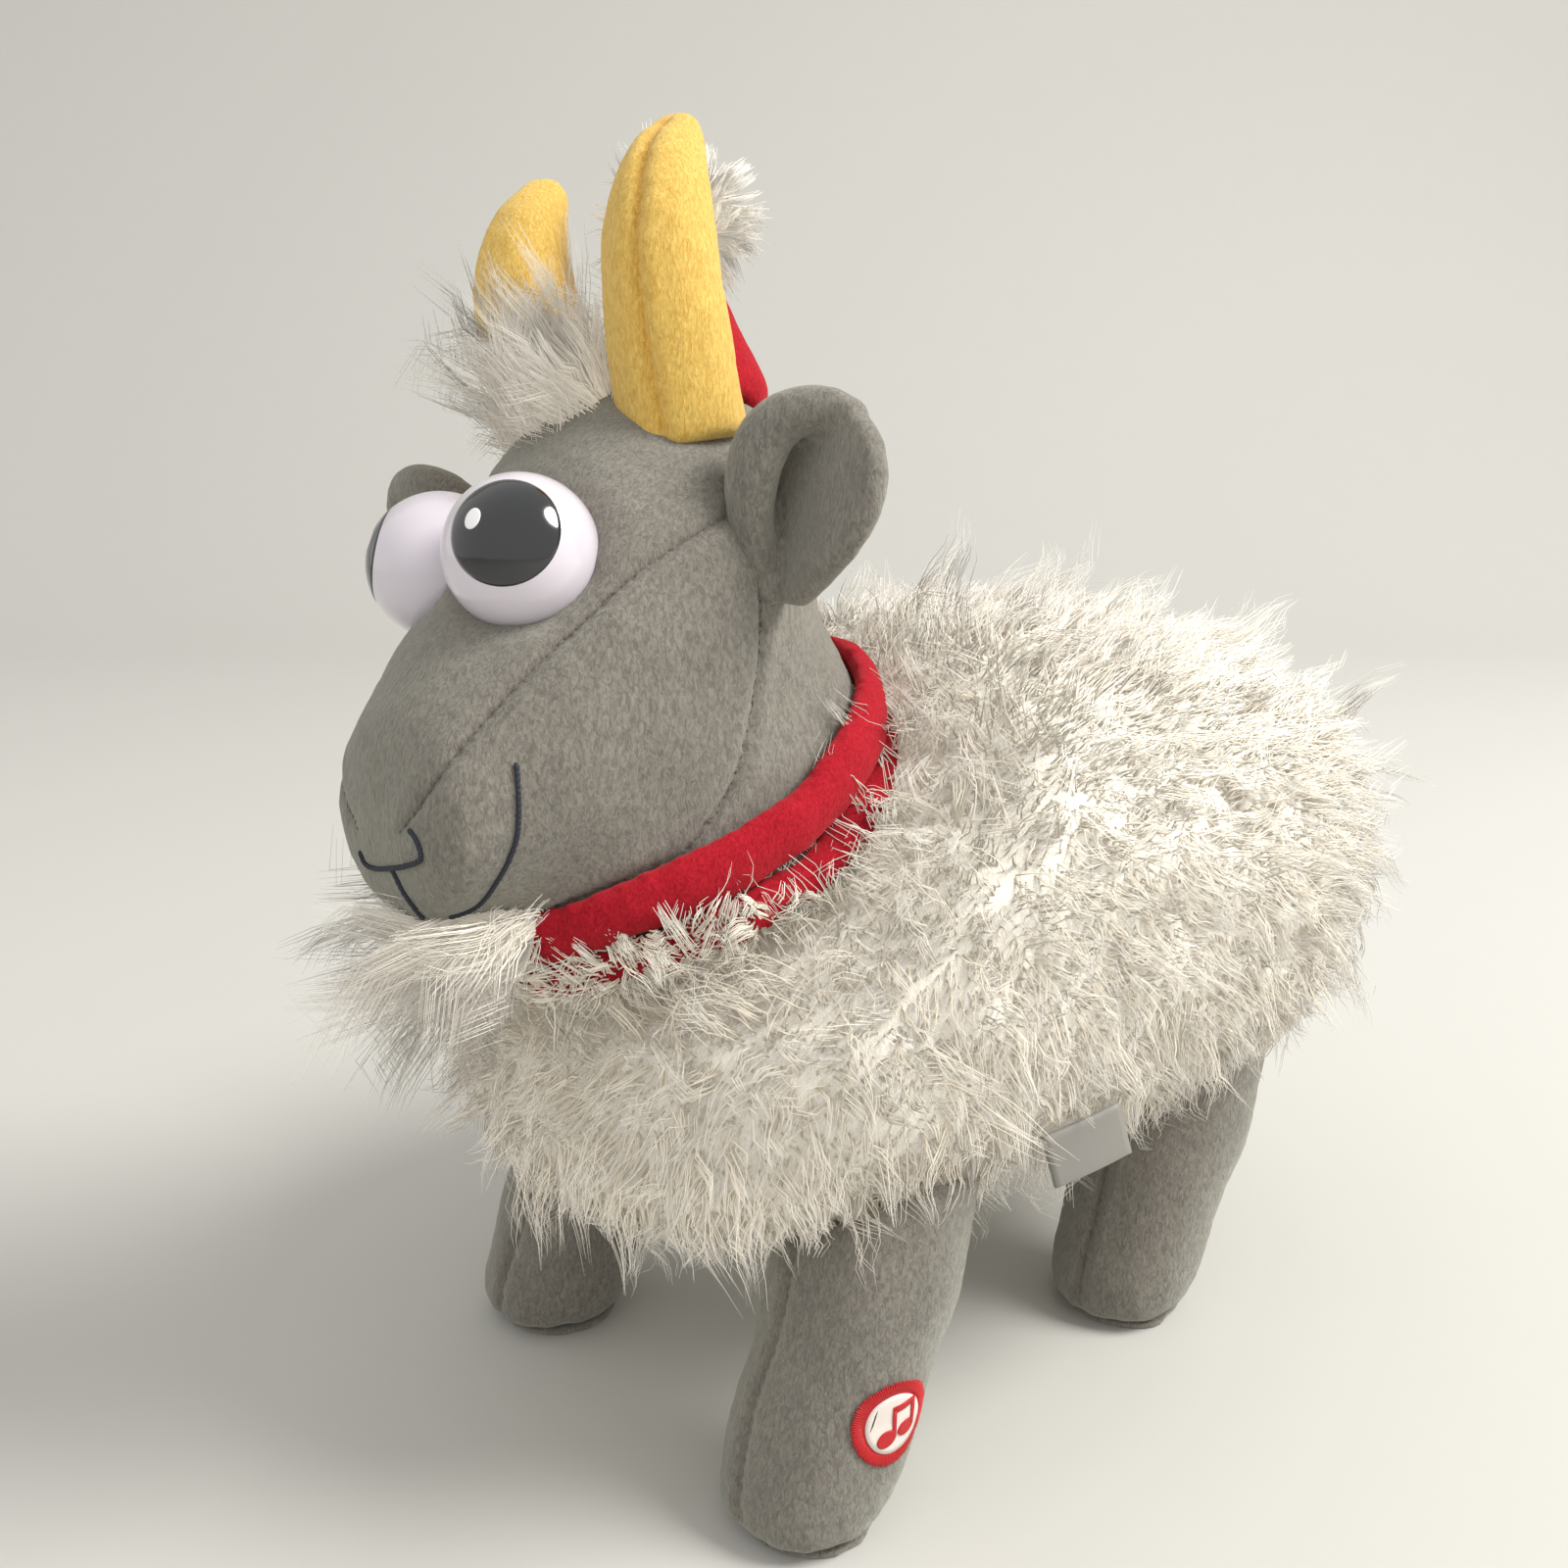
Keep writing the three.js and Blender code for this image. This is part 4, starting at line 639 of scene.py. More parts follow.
def addEar(name, side, word):
    turnX, turnY, turnZ = (math.radians(t) for t in ear[word]["turn"])
    turn = Matrix.Rotation(turnZ, 3, "Z") @ Matrix.Rotation(turnY, 3, "Y") @ Matrix.Rotation(turnX, 3, "X")
    parts = []
    for line, count in (("lip", 60), ("back", 24)):
        for x, y, z, radius in curveThrough(ear[line], np.linspace(0, 1, count)):
            parts.append(ball(line, (x, y, z), radius, 10, 14))
    # the inner slope rises from the crease to the outer rim
    shares = np.linspace(0, 1, 30)
    for deep, edge in zip(curveThrough(ear["crease"], shares), curveThrough(ear["rim"], shares)):
        for out in np.linspace(0, 1, 10):
            parts.append(ball("slope", tuple(deep + (edge - deep) * out), ear["slopeThick"], 8, 12))
    piece = joinPieces(name, parts)
    places = [turn @ Vector(p) + Vector(ear[word]["place"]) for p in placesOf(piece)]
    setPlaces(piece, np.array([onHead(side * x, y, z) for x, y, z in places]))
    return faceOutward(piece)


def sinkHorn(piece, side):
    # the horn's foot is fuller than its solid and runs on into the stuffed head
    turn = np.array(headTurn)
    places = (placesOf(piece) / mm - np.array(head["origin"])) @ turn
    low = ramp(places[:, 2], *horn["spread"])
    middle = np.array([side * horn["foot"][0], horn["foot"][1]])
    places[:, :2] = middle + (places[:, :2] - middle) * (1 + horn["footSpread"] * low)[:, None]
    base = ramp(places[:, 2], *horn["sink"])
    places[:, 2] -= horn["footDepth"] * base * base * (3 - 2 * base)
    setPlaces(piece, (places @ turn.T + np.array(head["origin"])) * mm)
    return piece


for side, word in ((1, "Left"), (-1, "Right")):
    hand = word.lower()
    seam = {"points": [onHead(side * x, y, z) for x, y, z in horn["seam"]], "depth": 1.1, "width": 1.3}
    piece = stuffed(sinkHorn(cadCopy(hand + "_horn", "horn" + word), side), horn["cloth"], [seam])
    finishPiece(piece, yellowPlush, "goat", [hand + "_horn"])
    piece = stuffed(addEar("ear" + word, side, word), ear["cloth"])
    finishPiece(piece, greyPlush, "goat", [hand + "_ear"])
hatFelt = stuffed(cadCopy("hat_cone", "hatFelt"), hat["cloth"])
finishPiece(hatFelt, redPlush, "goat", ["hat_cone"])
print("horns, ears and hat made")


# stitching
def stitchTree():
    # stitches along a line: small rounded bars laid on the cloth, turned about the way it faces
    tree = bpy.data.node_groups.new("stitches", "GeometryNodeTree")
    face = tree.interface
    face.new_socket("Line", in_out="INPUT", socket_type="NodeSocketGeometry")
    for name in ("Pitch", "Long", "Thick", "Rise", "Turn", "Unevenness"):
        face.new_socket(name, in_out="INPUT", socket_type="NodeSocketFloat")
    face.new_socket("Seed", in_out="INPUT", socket_type="NodeSocketInt")
    face.new_socket("Finish", in_out="INPUT", socket_type="NodeSocketMaterial")
    face.new_socket("Stitches", in_out="OUTPUT", socket_type="NodeSocketGeometry")
    given = put(tree, "NodeGroupInput", out=None).outputs

    def maths(operation, a, b=0.0, c=0.0):
        return put(tree, "ShaderNodeMath", {0: a, 1: b, 2: c}, operation=operation)

    def chance(seed):
        seed = maths("ADD", given["Seed"], seed)
        return put(tree, "FunctionNodeRandomValue", {2: -1.0, 3: 1.0, "Seed": seed}, out=1, data_type="FLOAT")

    curve = put(tree, "GeometryNodeMeshToCurve", {"Mesh": given["Line"]})
    spread = put(tree, "GeometryNodeCurveToPoints", {"Curve": curve, "Length": given["Pitch"]}, out=None,
                 mode="LENGTH")
    outward = put(tree, "GeometryNodeInputNamedAttribute", {"Name": "outward"}, data_type="FLOAT_VECTOR")
    lifted = put(tree, "ShaderNodeVectorMath", {0: outward, "Scale": given["Rise"]}, operation="SCALE")
    points = put(tree, "GeometryNodeSetPosition", {"Geometry": spread.outputs["Points"], "Offset": lifted})
    turned = put(tree, "FunctionNodeAlignRotationToVector", {"Vector": spread.outputs["Tangent"]}, axis="X")
    turned = put(tree, "FunctionNodeAlignRotationToVector", {"Rotation": turned, "Vector": outward}, axis="Z",
                 pivot_axis="X")
    swing = maths("MULTIPLY_ADD", chance(1.0), maths("MULTIPLY", given["Unevenness"], 0.6), given["Turn"])
    swing = put(tree, "ShaderNodeCombineXYZ", {2: swing})
    swing = put(tree, "FunctionNodeEulerToRotation", {0: swing})
    turned = put(tree, "FunctionNodeRotateRotation", {0: turned, 1: swing}, rotation_space="LOCAL")
    length = maths("MULTIPLY", given["Long"], maths("MULTIPLY_ADD", chance(2.0), given["Unevenness"], 1.0))
    size = put(tree, "ShaderNodeCombineXYZ", {0: length, 1: given["Thick"], 2: given["Thick"]})
    bead = put(tree, "GeometryNodeMeshUVSphere", {"Segments": 8, "Rings": 6, "Radius": 0.5})
    stitches = put(tree, "GeometryNodeInstanceOnPoints",
                   {"Points": points, "Instance": bead, "Rotation": turned, "Scale": size})
    stitches = put(tree, "GeometryNodeRealizeInstances", {"Geometry": stitches})
    stitches = put(tree, "GeometryNodeSetShadeSmooth", {"Geometry": stitches})
    stitches = put(tree, "GeometryNodeSetMaterial", {"Geometry": stitches, "Material": given["Finish"]})
    put(tree, "NodeGroupOutput", {0: stitches})
    return tree


stitching = stitchTree()
thread = {"panel": {"Pitch": 1.9 * mm, "Long": 1.4 * mm, "Thick": 0.34 * mm, "Rise": 0.05 * mm, "Turn": 0.0,
                    "Unevenness": 0.25, "Seed": 71},
          "navy": {"Pitch": 1.15 * mm, "Long": 2.1 * mm, "Thick": 1.15 * mm, "Rise": 0.2 * mm, "Turn": 0.1,
                   "Unevenness": 0.2, "Seed": 72},
          "satin": {"Pitch": 0.5 * mm, "Long": 3.0 * mm, "Thick": 0.62 * mm, "Rise": 0.45 * mm,
                    "Turn": math.pi / 2, "Unevenness": 0.12, "Seed": 73}}


def sew(name, surface, line, sizes, finish, closed=False):
    edges = [(i, i + 1) for i in range(len(line) - 1)] + ([(len(line) - 1, 0)] if closed else [])
    mesh = bpy.data.meshes.new(name)
    mesh.from_pydata([tuple(p) for p in line], edges, [])
    outward = mesh.attributes.new("outward", "FLOAT_VECTOR", "POINT")
    facing = [surface.find_nearest(Vector(p))[1] for p in line]
    outward.data.foreach_set("vector", np.array([tuple(f) for f in facing], np.float32).ravel())
    piece = bpy.data.objects.new(name, mesh)
    scene.collection.objects.link(piece)
    runTree(piece, stitching, {**sizes, "Finish": finish})
    return piece


panelThread = plainFinish("panelThread", colour(104, 101, 96), 0.9, speckle=0.2, grain=1500.0)
for seam in headSeams:
    line = seamLine(headSurface, seam["points"], 0.6)
    piece = sew("seamStitches", headSurface, line, thread["panel"], panelThread)
    finishPiece(piece, panelThread, "goat")
smileRight = [(2 * head["middle"] - x, y, z) for x, y, z in head["smile"]]
for name, points in (("noseStitches", head["nose"]), ("lipStitches", head["lip"]),
                     ("smileStitchesLeft", head["smile"]), ("smileStitchesRight", smileRight)):
    line = seamLine(headSurface, [onHead(*p) for p in points], 0.5)
    finishPiece(sew(name, headSurface, line, thread["navy"], navyThread), navyThread, "goat")
print("stitching made")


# the scarf, higher under the jaw than at the nape; "throat" is a place along the body and the run before it
scarf = {"throat": (-62.0, -34.0),
         "roll": {"lift": 6.0, "fill": 0.6, "cloth": {"weave": 2.0, "ease": 2, "grow": 0.2, "levels": 1,
                                                      "seed": 13, "lumps": 0.9, "limit": 0.6}},
         "layer": {"lift": 7.0, "fill": 0.4, "cloth": {"weave": 1.7, "ease": 1, "grow": 0.3, "levels": 1,
                                                       "seed": 15, "lumps": 0.9, "limit": 0.4}}}


def addScarf(node, name, part):
    piece = stuffed(cadCopy(node, name), part["cloth"])
    places = placesOf(piece) / mm
    forward = ramp(places[:, 1], *scarf["throat"])
    setPlaces(piece, (places + np.array(neck["axis"]) * (part["lift"] * forward)[:, None]) * mm)
    finishPiece(piece, redPlush, "goat", [node])
    return piece


addScarf("scarf_roll", "scarfRoll", scarf["roll"])
scarfLayer = addScarf("scarf_layer", "scarfLayer", scarf["layer"])
print("scarf made")


# the legs, each with a front and a back seam, and their soles
leg = {"cloth": {"weave": 4.0, "ease": 4, "grow": 0.4, "levels": 2, "seed": 17, "lumps": 0.8, "limit": 1.0},
       "lowest": 0.4, "seamDepth": 1.1,
       "front": [[(51.5, -70.0, 70.0), (51.2, -76.1, 55.4), (51.1, -79.4, 44.6), (50.2, -83.7, 32.6),
                  (50.8, -86.6, 22.0), (52.0, -87.5, 10.0), (53.8, -85.0, 3.5)],
                 [(54.0, -36.0, 66.0), (54.0, -41.0, 50.0), (54.0, -46.0, 30.0), (54.0, -50.0, 15.0),
                  (53.8, -54.0, 3.5)]],
       "rear": [[(45.0, 50.0, 66.0), (45.0, 45.0, 50.0), (45.0, 40.0, 30.0), (45.0, 37.0, 15.0),
                 (45.0, 39.5, 3.5)],
                [(45.0, 96.0, 66.0), (45.0, 90.0, 50.0), (45.0, 82.0, 30.0), (45.0, 76.0, 15.0),
                 (45.0, 70.0, 3.5)]]}
# "edge" pairs shares of the radius and of the thickness; "look" is in radians
sole = {"diameter": 35.0, "thickness": 1.9, "seam": 4.0, "inset": 1.2, "look": 0.2, "sides": 48,
        "edge": [(0.0, 0.0), (0.5, 0.0), (0.9, 0.0), (0.975, 0.12), (1.0, 0.45), (0.985, 0.85), (0.9, 1.0),
                 (0.0, 1.0)]}


def addSole(legPiece, name, node):
    # its edge follows the sewn edge of the leg above it
    low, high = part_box(node)
    middle = (low + high) / 2
    foot = placesOf(legPiece) - np.array((middle.x, middle.y, 0.0))
    foot = foot[foot[:, 2] < sole["seam"] * mm]
    wide, bearing = np.hypot(foot[:, 0], foot[:, 1]), np.arctan2(foot[:, 1], foot[:, 0])
    turns = [2 * math.pi * k / sole["sides"] for k in range(sole["sides"])]
    reach = []
    for turn in turns:
        off = np.abs((bearing - turn + math.pi) % (2 * math.pi) - math.pi)
        reach.append(min(sole["diameter"] / 2 * mm, wide[off < sole["look"]].max() - sole["inset"] * mm))
    points = []
    for share, rise in sole["edge"]:
        for turn, far in zip(turns, reach):
            points.append((middle.x + share * far * math.cos(turn), middle.y + share * far * math.sin(turn),
                           rise * sole["thickness"] * mm))
    pad = faceOutward(addPiece(name, points, ringFaces(len(sole["edge"]) - 1, sole["sides"])), 0.001 * mm)
    finishPiece(pad, greyPlush, "goat", [node])


def addLeg(end, side, hand):
    name, node = end.title() + hand, end + "_" + hand.lower()
    piece = cadCopy(end + "_right_leg", "leg" + name, mirrored=side > 0)
    seams = [{"points": [Vector((side * x, y, z)) * mm for x, y, z in line], "depth": leg["seamDepth"]}
             for line in leg[end]]
    stuffed(piece, {**leg["cloth"], "seed": leg["cloth"]["seed"] + side + 2 * len(end)}, seams)
    places = placesOf(piece)
    places[:, 2] = np.maximum(places[:, 2], leg["lowest"] * mm)
    setPlaces(piece, places)
    # the leg with the badge gets its bodies from the blend below
    blended = name == "FrontLeft"
    finishPiece(piece, greyPlush, None if blended else "goat", [node + "_leg"])
    addSole(piece, "sole" + name, node + "_sole")


for end in ("front", "rear"):
    addLeg(end, -1, "Right")
    addLeg(end, 1, "Left")
print("legs made")

# the press badge on the front left leg, and the spring behind it
badge = {"middle": (-64.7, 31.0), "radius": 10.0, "band": 2.6, "from": 66.0, "to": 74.0, "outside": 120.0,
         "cloth": 9.3, "field": 7.0}
note = {"rise": 1.0, "thick": 0.35, "tilt": 0.35, "stem": 0.45}
legSkin = bpy.data.objects["legFrontLeft"]
legSurface = surfaceOf(legSkin)


def onBadge(right, up, rise=0.0):
    # a point of the badge in millimetres from its middle, laid on the leg's outer side
    start = Vector((badge["outside"], badge["middle"][0] + right, badge["middle"][1] + up)) * mm
    spot, facing, _, _ = legSurface.ray_cast(start, Vector((-1, 0, 0)))
    return spot + facing * rise * mm


def patch(name, outline, rise, thickness, finish, rings=6):
    # a thin piece inside an outline round its own middle, lying on the leg
    outline = np.array(outline)
    middle, count = outline.mean(0), len(outline)
    points, faces = [], []
    for level in (rise, rise - thickness):
        for k in range(rings, 0, -1):
            for right, up in middle + (outline - middle) * k / rings:
                points.append(onBadge(right, up, level))
        points.append(onBadge(*middle, level))
    layer = rings * count + 1
    for base in (0, layer):
        faces += ringFaces(rings - 1, count, base)
        inner = base + (rings - 1) * count
        faces += [(inner + i, base + rings * count, inner + (i + 1) % count) for i in range(count)]
    faces += [(i, (i + 1) % count, layer + (i + 1) % count, layer + i) for i in range(count)]
    return finishPiece(faceOutward(addPiece(name, points, faces)), finish, "foot_button")


def oval(middle, radii, tilt=0.0, count=40):
    points = []
    for k in range(count):
        turn = 2 * math.pi * k / count
        x, y = radii[0] * math.cos(turn), radii[1] * math.sin(turn)
        points.append((middle[0] + x * math.cos(tilt) - y * math.sin(tilt),
                       middle[1] + x * math.sin(tilt) + y * math.cos(tilt)))
    return points


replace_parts(patch("badgeCloth", oval((0, 0), [badge["cloth"]] * 2, count=64), 0.5, 0.9, redThread), "badge")
patch("badgeField", oval((0, 0), [badge["field"]] * 2, count=64), 0.75, 0.4, whiteThread)
for name, middle, radii in (("noteHead", (-2.2, -3.0), (2.5, 1.9)),
                            ("noteHeadSmall", (2.9, -1.9), (2.3, 1.75))):
    patch(name, oval(middle, radii, note["tilt"]), note["rise"], note["thick"], redThread)
for name, x, foot, top in (("noteStem", -0.2, -3.0, 3.4), ("noteStemSmall", 4.7, -1.8, 4.4)):
    left, right, half = x - note["stem"], x + note["stem"], (foot + top) / 2
    outline = [(left, foot), (right, foot), (right, half), (right, top), (left, top), (left, half)]
    patch(name, outline, note["rise"], note["thick"], redThread, rings=2)
beam = [(-0.65, 2.6), (2.25, 3.1), (5.15, 3.6), (5.15, 5.2), (2.25, 4.7), (-0.65, 4.2)]
patch("noteBeam", beam, note["rise"], note["thick"], redThread, rings=2)
ringRadii = [badge["radius"] - badge["band"] / 2] * 2
line = np.array([tuple(onBadge(right, up)) for right, up in oval((0, 0), ringRadii, count=120)])
ring = sew("badgeRing", legSurface, line, thread["satin"], redThread, closed=True)
finishPiece(ring, redThread, "foot_button")
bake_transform(legSkin, "goat", "foot_button", Vector((badge["from"], *badge["middle"])) * mm,
         Vector((badge["to"], *badge["middle"])) * mm)
switchSpring = finishPiece(cadCopy("button_spring", "switchSpring"), springSteel, "goat",
                           ["button_spring"])
low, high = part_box("button_spring")
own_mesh(switchSpring)
print("badge made")


# how strands bend: rates and turns through noise, gather and taper as powers, the rest as shares of length
strandBend = {"lockStray": 110.0, "strandStray": 260.0, "shortest": 0.65, "luck": 0.35, "gather": 0.75,
              "settle": 0.55, "waveRate": 170.0, "kinkRate": 900.0, "kinkTurn": 1.3, "taper": 0.6}


def furTree():
    # strands on a skin: gathered into locks, combed along the skin's comb, wavy towards the tip
    tree = bpy.data.node_groups.new("fur", "GeometryNodeTree")
    face = tree.interface
    face.new_socket("Skin", in_out="INPUT", socket_type="NodeSocketGeometry")
    for name in ("Strands", "Locks", "Length", "Unevenness", "Thickness", "Lift", "Tangle", "Gather", "Wave",
                 "Wave Size", "Frizz", "Tip", "Evenness"):
        face.new_socket(name, in_out="INPUT", socket_type="NodeSocketFloat")
    face.new_socket("Steps", in_out="INPUT", socket_type="NodeSocketInt")
    face.new_socket("Seed", in_out="INPUT", socket_type="NodeSocketInt")
    face.new_socket("Finish", in_out="INPUT", socket_type="NodeSocketMaterial")
    face.new_socket("Fur", in_out="OUTPUT", socket_type="NodeSocketGeometry")
    given = put(tree, "NodeGroupInput", out=None).outputs

    def named(name, kind="FLOAT"):
        return put(tree, "GeometryNodeInputNamedAttribute", {"Name": name}, data_type=kind)

    def namedVector(name):
        return named(name, "FLOAT_VECTOR")

    def keep(geometry, name, value, kind="FLOAT"):
        inputs = {"Geometry": geometry, "Name": name, "Value": value}
        return put(tree, "GeometryNodeStoreNamedAttribute", inputs, data_type=kind, domain="POINT")

    def maths(operation, a, b=0.0, c=0.0):
        return put(tree, "ShaderNodeMath", {0: a, 1: b, 2: c}, operation=operation)

    def vectors(operation, a, b=(0, 0, 0)):
        return put(tree, "ShaderNodeVectorMath", {0: a, 1: b}, operation=operation)

    def times(vector, amount):
        return put(tree, "ShaderNodeVectorMath", {0: vector, "Scale": amount}, operation="SCALE")

    def between(a, b, share):
        return vectors("ADD", a, times(vectors("SUBTRACT", b, a), share))

    def wander(place, size):
        # a vector that changes smoothly with place, each part about -0.5 to 0.5
        cloud = put(tree, "ShaderNodeTexNoise", {"Vector": times(place, size), "Scale": 1.0, "Detail": 1.0},
                    out="Color")
        return vectors("SUBTRACT", cloud, (0.5, 0.5, 0.5))

    def chance(seed):
        return put(tree, "FunctionNodeRandomValue", {"Seed": maths("ADD", given["Seed"], seed)}, out=1,
                   data_type="FLOAT")

    place = put(tree, "GeometryNodeInputPosition")
    roots = []
    for which, (density, seed) in enumerate((("Locks", 11.0), ("Strands", 3.0))):
        spread = put(tree, "GeometryNodeDistributePointsOnFaces",
                     {"Mesh": given["Skin"], "Density": maths("MULTIPLY", given[density], named("furShare")),
                      "Seed": maths("ADD", given["Seed"], seed)}, out=None, distribute_method="RANDOM")
        points = keep(spread.outputs["Points"], "outward", spread.outputs["Normal"], "FLOAT_VECTOR")
        rate = strandBend["lockStray" if which == 0 else "strandStray"]
        stray = times(wander(place, rate), given["Tangle"])
        aim = vectors("ADD", times(namedVector("outward"), given["Lift"]), namedVector("comb"))
        aim = vectors("NORMALIZE", vectors("ADD", aim, stray))
        points = keep(points, "aim", aim, "FLOAT_VECTOR")
        points = keep(points, "root", place, "FLOAT_VECTOR")
        points = keep(points, "luck", chance(5.0 + which))
        roots.append(points)
    locks, strands = roots
    nearest = put(tree, "GeometryNodeSampleNearest", {"Geometry": locks, "Sample Position": place},
                  domain="POINT")

    def ofLock(name, kind):
        return put(tree, "GeometryNodeSampleIndex", {"Geometry": locks, "Value": named(name, kind),
                                                     "Index": nearest}, data_type=kind, domain="POINT")

    strands = keep(strands, "lockRoot", ofLock("root", "FLOAT_VECTOR"), "FLOAT_VECTOR")
    strands = keep(strands, "lockAim", ofLock("aim", "FLOAT_VECTOR"), "FLOAT_VECTOR")
    strands = keep(strands, "chance", ofLock("luck", "FLOAT"))
    reach = maths("SUBTRACT", 1.0, maths("MULTIPLY", given["Unevenness"], named("chance")))
    reach = maths("MULTIPLY", reach,
                  maths("MULTIPLY_ADD", named("luck"), strandBend["luck"], strandBend["shortest"]))
    reach = maths("MULTIPLY", reach, maths("MULTIPLY", given["Length"], named("furLength")))
    strands = keep(strands, "reach", reach)

    hair = put(tree, "GeometryNodeCurvePrimitiveLine", {"End": (0.0, 0.0, 0.001)})
    hair = put(tree, "GeometryNodeResampleCurve", {"Curve": hair, "Count": given["Steps"]})
    hairs = put(tree, "GeometryNodeInstanceOnPoints", {"Points": strands, "Instance": hair})
    hairs = put(tree, "GeometryNodeRealizeInstances", {"Geometry": hairs})
    hairs = keep(hairs, "along", put(tree, "GeometryNodeSplineParameter", out="Factor"))
    along, reach = named("along"), named("reach")
    root, lockRoot = namedVector("root"), namedVector("lockRoot")
    pull = maths("MULTIPLY", given["Gather"], maths("POWER", along, strandBend["gather"]))
    start = between(root, lockRoot, pull)
    aim = between(namedVector("aim"), namedVector("lockAim"), pull)
    straight = times(aim, maths("MULTIPLY", reach, along))
    sag = maths("MULTIPLY", maths("MULTIPLY", along, along), maths("MULTIPLY", reach, strandBend["settle"]))
    sag = times(namedVector("comb"), sag)
    # the wave is the same for all the strands of one lock
    swing = times(namedVector("lockAim"), maths("MULTIPLY", along, given["Wave Size"]))
    swing = wander(vectors("ADD", times(lockRoot, strandBend["waveRate"]), swing), 1.0)
    wave = times(swing, maths("MULTIPLY", maths("MULTIPLY", given["Wave"], reach), along))
    kink = times(namedVector("aim"), maths("MULTIPLY", along, strandBend["kinkTurn"]))
    kink = wander(vectors("ADD", times(root, strandBend["kinkRate"]), kink), 1.0)
    frizz = times(kink, maths("MULTIPLY", maths("MULTIPLY", given["Frizz"], reach), along))
    bent = vectors("ADD", vectors("ADD", start, straight), vectors("ADD", sag, vectors("ADD", wave, frizz)))
    hairs = put(tree, "GeometryNodeSetPosition", {"Geometry": hairs, "Position": bent})
    slim = maths("POWER", maths("SUBTRACT", 1.0, maths("MULTIPLY", along, 0.999)), strandBend["taper"])
    radius = maths("MULTIPLY", given["Thickness"], maths("MAXIMUM", slim, given["Tip"]))
    hairs = put(tree, "GeometryNodeSetCurveRadius", {"Curve": hairs, "Radius": radius})
    ring = put(tree, "GeometryNodeCurvePrimitiveCircle", {"Resolution": 3, "Radius": 1.0})
    tube = put(tree, "GeometryNodeCurveToMesh", {"Curve": hairs, "Profile Curve": ring, "Fill Caps": True},
               out=None)
    if "Scale" in tube.inputs:
        tree.links.new(put(tree, "GeometryNodeInputRadius"), tube.inputs["Scale"])
    smooth = put(tree, "GeometryNodeSetShadeSmooth", {"Geometry": tube.outputs[0]})
    real = put(tree, "GeometryNodeRealizeInstances", {"Geometry": smooth})
    facing = between(put(tree, "GeometryNodeInputNormal"), namedVector("outward"), given["Evenness"])
    real = keep(real, "facing", vectors("NORMALIZE", facing), "FLOAT_VECTOR")
    dressed = put(tree, "GeometryNodeSetMaterial", {"Geometry": real, "Material": given["Finish"]})
    put(tree, "NodeGroupOutput", {0: dressed})
    return tree


fur = furTree()


def growFur(name, skin, sizes, finish):
    grower = skin.copy()
    grower.data = skin.data.copy()
    grower.name = name
    scene.collection.objects.link(grower)
    runTree(grower, fur, {**sizes, "Finish": finish})
    # only what the finish and the mesh itself need is kept
    kept = ("along", "chance", "facing", "sharp_face", "position", "material_index")
    for attribute in [a.name for a in grower.data.attributes]:
        data = grower.data.attributes.get(attribute)
        if data and not data.is_required and not attribute.startswith(".") and attribute not in kept:
            grower.data.attributes.remove(data)
    print("  ", name, len(grower.data.polygons), "faces")
    return grower


def setSkin(skin, share, comb, length):
    for name, kind, values in (("furShare", "FLOAT", share), ("furLength", "FLOAT", length),
                               ("comb", "FLOAT_VECTOR", comb)):
        attribute = skin.data.attributes.new(name, kind, "POINT")
        key = "vector" if kind == "FLOAT_VECTOR" else "value"
        attribute.data.foreach_set(key, np.asarray(values, np.float32).ravel())


# the side tag; the fur is short round it. Steps, turns and cuts are counts
tag = {"fold": (87.5, -17.5, 80.5), "long": 20.0, "hang": 12.0, "thick": 0.4, "out": 0.8, "bow": 0.5,
       "along": (0.3, 1.0, 0.25), "faces": (1.0, -0.3, 0.15), "taper": 0.3, "flatten": 0.9,
       "steps": 7, "turns": 9, "cuts": 14}

# the body: a stuffed skin round the sound module, with wool and longer wisps
body = {"cloth": {"weave": 5.0, "ease": 6, "grow": -2.8, "levels": 1, "seed": 23, "lumps": 2.4, "limit": 1.5},
        "wool": {"Strands": 262000.0, "Locks": 34000.0, "Length": 13 * mm, "Unevenness": 0.4,
                 "Thickness": 0.24 * mm, "Lift": 1.0, "Tangle": 4.4, "Gather": 0.7, "Wave": 1.9,
                 "Wave Size": 1.5, "Frizz": 0.2, "Tip": 0.2, "Evenness": 0.88, "Steps": 4, "Seed": 4},
        "wisps": {"Strands": 95000.0, "Locks": 10500.0, "Length": 28 * mm, "Unevenness": 0.6,
                  "Thickness": 0.19 * mm, "Lift": 0.75, "Tangle": 3.6, "Gather": 0.88, "Wave": 1.05,
                  "Wave Size": 1.6, "Frizz": 0.05, "Tip": 0.1, "Evenness": 0.85, "Steps": 7, "Seed": 104},
        "neckRoom": (29.0, 41.0), "moduleRoom": (62.8, 66.8), "moduleMiddle": 10.3,
        "moduleHeights": (40.0, 95.0),
        "bands": {"Chest": (-400.0, -62.0), "Shoulder": (-62.0, -15.0), "Ribs": (-15.0, 30.0),
                  "Loin": (30.0, 75.0), "Rump": (75.0, 400.0)}}
